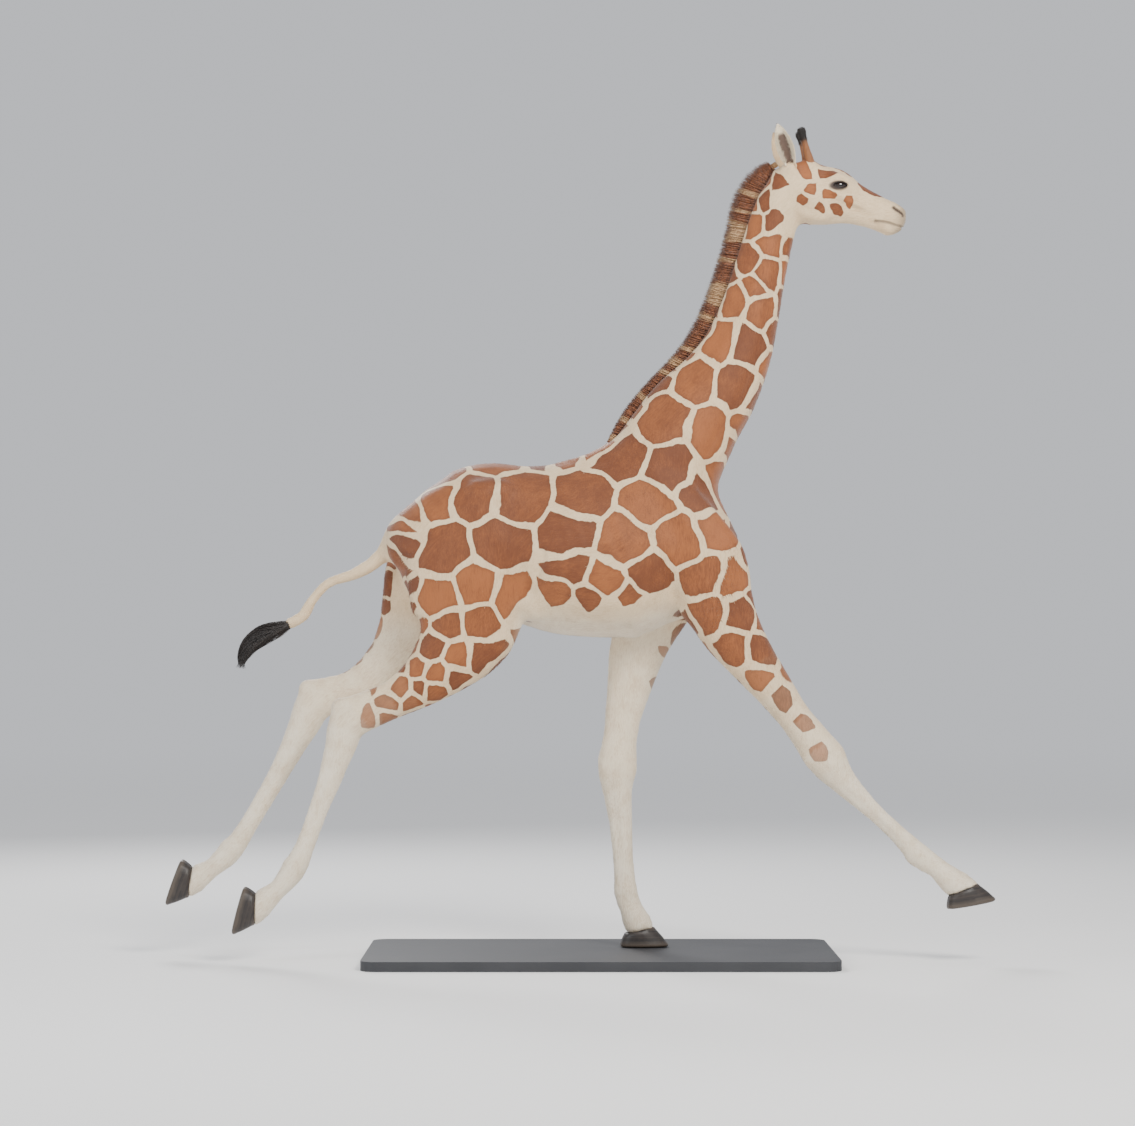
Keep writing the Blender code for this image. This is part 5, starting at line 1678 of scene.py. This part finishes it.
def mane_finish(name):
    finish = Finish(name, Roughness=0.55, Specular_IOR_Level=0.35, Sheen_Weight=0.2)
    place = finish.place()
    strand = finish.noise(place, 130.0, detail=3.0)
    brown = finish.mixed(finish.step(strand, 0.3, 0.7), shade(84, 44, 24), shade(146, 86, 48))
    buff = finish.mixed(finish.step(strand, 0.3, 0.7), shade(150, 108, 70), shade(206, 168, 122))
    colour = finish.mixed(finish.step(finish.value("patch_depth"), -0.004, 0.003), buff, brown)
    end = finish.value("end")
    colour = finish.mixed(finish.step(end, 0.70, 1.0) * 0.45, colour, shade(52, 30, 20))
    # Painted shade: each lock darkens towards its root, down among the others
    colour = finish.mixed(finish.step(end, 0.35, 0.0) * 0.5, colour, shade(60, 36, 22))
    finish.feed(Base_Color=colour, Normal=finish.bump(finish.noise(place, 800.0), 0.3, 0.001))
    return finish.material


mane_hair = mane_finish("mane_hair")
mane_run = run_through(MANE_LANDMARKS)
mane_node = tree_of(frame["nodes"]["mane"].data)
# Along the crest: where it leaves the hide, its way up, its way ahead and how high it stands
crest = []
for at, front, ahead in zip(mane_run.points, mane_run.front, mane_run.ahead):
    above = Vector(at + front)
    top = mane_node.ray_cast(above, Vector(-front))[0]
    bottom = skin_tree.ray_cast(above, Vector(-front))[0]
    if top and bottom and (top - bottom).dot(Vector(front)) > LOCK_DEPTH:
        crest.append((*bottom, *front, *ahead, (top - bottom).dot(Vector(front))))
crest = np.array(crest)
draw = np.random.default_rng(MANE_SEED)
steps = np.linalg.norm(np.diff(crest[:, :3], axis=0), axis=1)
walked = np.concatenate([[0.0], np.cumsum(steps)])
at = draw.uniform(0.0, walked[-1], MANE_LOCKS)
rows = np.stack([np.interp(at, walked, column) for column in crest.T], axis=1)
front, ahead, height = unit(rows[:, 3:6]), unit(rows[:, 6:9]), rows[:, 9]
offset = MANE_HALF * np.clip(draw.normal(0.0, 0.55, MANE_LOCKS), -1, 1)
starts = rows[:, :3] + front * 0.2 + np.outer(offset, LEFTWARD)
roots = np.array([
    skin_tree.ray_cast(Vector(start), Vector(-way))[0] or start for start, way in zip(starts, front)
]) - front * LOCK_DEPTH
off_middle = offset / MANE_HALF
length = (height - 0.002) * draw.uniform(0.88, 1.0, MANE_LOCKS) * (1 - 0.10 * off_middle**2)
backward = ahead * draw.normal(0.10, 0.06, MANE_LOCKS)[:, None]
upright = unit(front - backward + np.outer(offset * 6, LEFTWARD))
fields, patch_tone, line = markings(roots)
mane = tufts(
    "mane_locks", roots, upright, np.tile(LEFTWARD, (MANE_LOCKS, 1)),
    np.maximum(length, LEAST_LOCK), LOCK_WIDTH * draw.uniform(0.7, 1.2, MANE_LOCKS),
    draw.normal(0.0, 0.05, MANE_LOCKS), draw.normal(0.0, 0.12, MANE_LOCKS), LOCK_RINGS,
    np.stack([off_middle * 0.4 + 0.5, at / walked[-1]], axis=1),
    {"patch_depth": depth_in_patch(fields, line)},
)
mane.data.materials.append(mane_hair)

bed = refined("mane", "mane_bed", BED_MESH, BED_SMOOTHING)
points = points_of(bed.data)
own_crest = crest[np.linalg.norm(points[:, None] - crest[None, :, :3], axis=2).argmin(axis=1)]
upward = own_crest[:, 3:6]
above = ((points - own_crest[:, :3]) * upward).sum(axis=1)
sink = np.clip(above - own_crest[:, 9] * BED_HEIGHT, 0.0, None)
points -= upward * sink[:, None]
points[:, 1] *= BED_WIDTH
place_points(bed.data, points)
fields, patch_tone, line = markings(points - upward * np.clip(above, 0, None)[:, None])
keep_value(bed.data, "patch_depth", depth_in_patch(fields, line))
# The bed is coloured as a lock low down, so it takes a little of that painted shade
keep_value(bed.data, "end", np.full(len(points), 0.3))
bed.data.materials.append(mane_hair)

# ---- Tail brush ----
# Long coarse black hair that leaves the tip of the tail in wavy strands and gathers to a
# point.

BRUSH_LANDMARKS = [
    (-1.560, 1.697), (-1.660, 1.652), (-1.735, 1.622), (-1.800, 1.572), (-1.838, 1.510),
    (-1.850, 1.448),
]
BRUSH_STRANDS, BRUSH_RINGS, BRUSH_SEED = 1150, 9, 71
STRAND_WIDTH, STRAND_WAVE, DOCK_REACH = 0.0030, 0.30, 0.031

brush_run = run_through(BRUSH_LANDMARKS)
brush_node = tree_of(frame["nodes"]["tail_tuft"].data)
brush_reach = []
for at, out, front in zip(brush_run.points, brush_run.out, brush_run.front):
    hits = [brush_node.ray_cast(Vector(at), Vector(way))[3] for way in (out, front, -front)]
    brush_reach.append(np.mean([hit for hit in hits if hit] or [DOCK_REACH]))
brush_reach = np.array(brush_reach)
draw = np.random.default_rng(BRUSH_SEED)
first = draw.uniform(0.0, 0.45, BRUSH_STRANDS) ** 1.3
last = np.clip(first + draw.uniform(0.5, 0.9, BRUSH_STRANDS), 0.0, 1.0)
turn = draw.uniform(0, 2 * math.pi, BRUSH_STRANDS)
reach_share = np.sqrt(draw.uniform(0.02, 1.0, BRUSH_STRANDS))
shape = np.empty((BRUSH_STRANDS, BRUSH_RINGS * 3 + 1, 3))
index = np.arange(len(brush_run.points))
for k in range(BRUSH_RINGS + 1):
    u = k / BRUSH_RINGS
    t = (first + (last - first) * u) * index[-1]
    at = np.stack([np.interp(t, index, column) for column in brush_run.points.T], axis=1)
    front = np.stack([np.interp(t, index, column) for column in brush_run.front.T], axis=1)
    wide = np.interp(t, index, brush_reach) * (0.6 + 0.4 * smoothstep(0.0, 0.4, u))
    swing = turn + STRAND_WAVE * np.sin(4.0 * u + turn * 3)
    away = np.cos(swing)[:, None] * LEFTWARD + np.sin(swing)[:, None] * front
    spot = at + away * (reach_share * wide)[:, None]
    side_way = unit(np.cross(np.cross(LEFTWARD, front), away))
    half = STRAND_WIDTH / 2 * (1 - u**2)
    place_ring(shape, k, spot, side_way * half, away * half)
brush = joined_hair("tail_brush", shape, np.stack([turn / (2 * math.pi), first], axis=1), {})
brush.data.materials.append(black_hair)
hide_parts("tail_tuft")

# ---- Hooves ----
# Two horny claws to a foot, dark grey-brown with the faint level rings of growth, paler and
# scuffed towards the ground edge. The hair of the pastern hangs over their upper rim.

HOOF_MESH, HOOF_SMOOTHING = 0.0050, 8
# How far each foot's toe points up from level
TOE_PITCH = {"front_right": 10.0, "front_left": 0.0, "hind_right": -105.0, "hind_left": -110.0}
HOOF_FLARE, HOOF_FLARE_HEIGHT, UNDER_HAIR = 0.003, 0.04, 0.006


def horn_claw_finish():
    finish = Finish("hoof_horn", Roughness=0.42, Specular_IOR_Level=0.5)
    place = finish.place()
    below = finish.value("below")
    uneven = finish.noise(place, 14.0, detail=4.0)
    rings = finish.noise(
        finish.add("ShaderNodeCombineXYZ", {}, uneven * 0.02, 0.0, below), 130.0, detail=3.0
    )
    grain = finish.noise(place, 420.0, detail=3.0)
    horn = finish.mixed(finish.step(rings, 0.3, 0.7), shade(30, 26, 25), shade(58, 50, 45))
    scuffed = finish.step(below + uneven * 0.03, 0.070, 0.100)
    horn = finish.mixed(scuffed * 0.5, horn, shade(98, 86, 74))
    horn = finish.mixed(finish.step(below, 0.012, 0.0) * 0.6, horn, shade(84, 70, 60))
    finish.feed(
        Base_Color=horn, Roughness=grain * 0.2 + 0.36,
        Normal=finish.bump(rings * 0.7 + grain * 0.3, 0.45, 0.0016),
    )
    return finish.material


claw_horn = horn_claw_finish()
for leg, pitch in TOE_PITCH.items():
    turn = math.radians(pitch)
    from_sole = np.array([-math.sin(turn), 0.0, math.cos(turn)])
    for claw_side in ("inner", "outer"):
        node = f"{leg}_hoof_{claw_side}"
        claw = refined(node, node + "_horn", HOOF_MESH, HOOF_SMOOTHING)
        points, normals = points_of(claw.data), normals_of(claw.data)
        height = points @ from_sole - (points @ from_sole).min()
        wall = 1 - smoothstep(0.5, 0.9, np.abs(normals @ from_sole))
        flare = HOOF_FLARE * smoothstep(HOOF_FLARE_HEIGHT, 0.0, height) * wall
        points += normals * flare[:, None]
        # The upper end runs on under the hair of the pastern
        points += np.outer(UNDER_HAIR * smoothstep(0.7, 0.95, normals @ from_sole), from_sole)
        place_points(claw.data, points)
        keep_value(claw.data, "below", height.max() - height)
        claw.data.materials.append(claw_horn)

# ---- Base ----
# A low plinth of painted board with eased edges, as a museum stands such a model on. Its
# charcoal paint is a little cloudy and stippled from the roller.


def base_finish():
    finish = Finish("plinth_paint", Specular_IOR_Level=0.4)
    place = finish.place()
    stipple = finish.noise(place, 420.0, detail=3.0)
    cloud = finish.noise(place, 2.5, detail=4.0)
    paint = finish.mixed(finish.step(cloud, 0.3, 0.7), shade(50, 51, 54), shade(62, 63, 66))
    finish.feed(
        Base_Color=finish.mixed(stipple * 0.25, paint, shade(78, 79, 82)),
        Roughness=cloud * 0.16 + 0.52, Normal=finish.bump(stipple, 0.25, 0.0006),
    )
    return finish.material


for slot in frame["nodes"]["stand_base"].material_slots:
    slot.material = base_finish()

# ---- Floor, light and camera ----
# A plain pale studio floor with soft light from large lamps, seen square from the giraffe's
# right side with a long lens.

SUBJECT = np.array([-0.167, 0.0, 2.043])
FRAME_WIDTH = 5.845
CAMERA_DISTANCE, CAMERA_HEIGHT = 16.0, 1.65
STUDIO_GREY, STUDIO_LIGHT = (0.93, 0.95, 1.0), 0.72
# The floor turns into the studio's even grey between these distances
FLOOR_FADES, FLOOR_SIZE = (6.0, 34.0), 240.0
# Each lamp: where it is, where it points, how wide and how strong it is, and its colour
LAMPS = [
    ("key_light", (3.5, -7.0, 7.5), (0.0, 0.0, 2.2), 3.5, 900.0, (1.0, 0.97, 0.92)),
    ("fill_light", (-7.0, -5.0, 4.0), (0.0, 0.0, 2.0), 4.0, 260.0, (0.92, 0.96, 1.0)),
    ("rim_light", (-3.0, 7.0, 6.5), (0.0, 0.0, 2.4), 3.0, 500.0, (1.0, 1.0, 1.0)),
]

bpy.ops.object.select_all(action="DESELECT")
bpy.ops.mesh.primitive_plane_add(size=FLOOR_SIZE)
floor = bpy.context.active_object
floor.name = "floor"
paint = Finish("pale_floor", Base_Color=(0.90, 0.895, 0.885, 1.0), Roughness=0.9)
far_off = paint.vector_math("LENGTH", paint.place(), output="Value")
haze = paint.add("ShaderNodeEmission", {}, (*STUDIO_GREY, 1.0), STUDIO_LIGHT, output="Emission")
lit = Wire(paint, paint.shader.outputs["BSDF"])
blend = paint.add("ShaderNodeMixShader", {}, paint.step(far_off, *FLOOR_FADES), lit, haze)
paint.tree.links.new(blend.socket, paint.tree.nodes["Material Output"].inputs["Surface"])
floor.data.materials.append(paint.material)

world = bpy.data.worlds.new("studio")
bpy.context.scene.world = world
world.use_nodes = True
world.node_tree.nodes["Background"].inputs["Color"].default_value = (*STUDIO_GREY, 1.0)
world.node_tree.nodes["Background"].inputs["Strength"].default_value = STUDIO_LIGHT


def lamp(name, place, target, size, power, colour):
    light = bpy.data.lights.new(name, "AREA")
    light.shape, light.size, light.energy, light.color = "DISK", size, power, colour
    holder = bpy.data.objects.new(name, light)
    bpy.context.scene.collection.objects.link(holder)
    holder.location = place
    holder.rotation_euler = (Vector(target) - Vector(place)).to_track_quat("-Z", "Y").to_euler()


for lamp_row in LAMPS:
    lamp(*lamp_row)

camera = bpy.data.objects.new("camera", bpy.data.cameras.new("camera"))
bpy.context.scene.collection.objects.link(camera)
camera.location = (SUBJECT[0], -CAMERA_DISTANCE, CAMERA_HEIGHT)
camera.rotation_euler = (math.radians(90.0), 0.0, 0.0)
camera.data.lens = camera.data.sensor_width * CAMERA_DISTANCE / FRAME_WIDTH
camera.data.shift_y = (SUBJECT[2] - CAMERA_HEIGHT) / FRAME_WIDTH
camera.data.clip_end = 400.0
bpy.context.scene.camera = camera
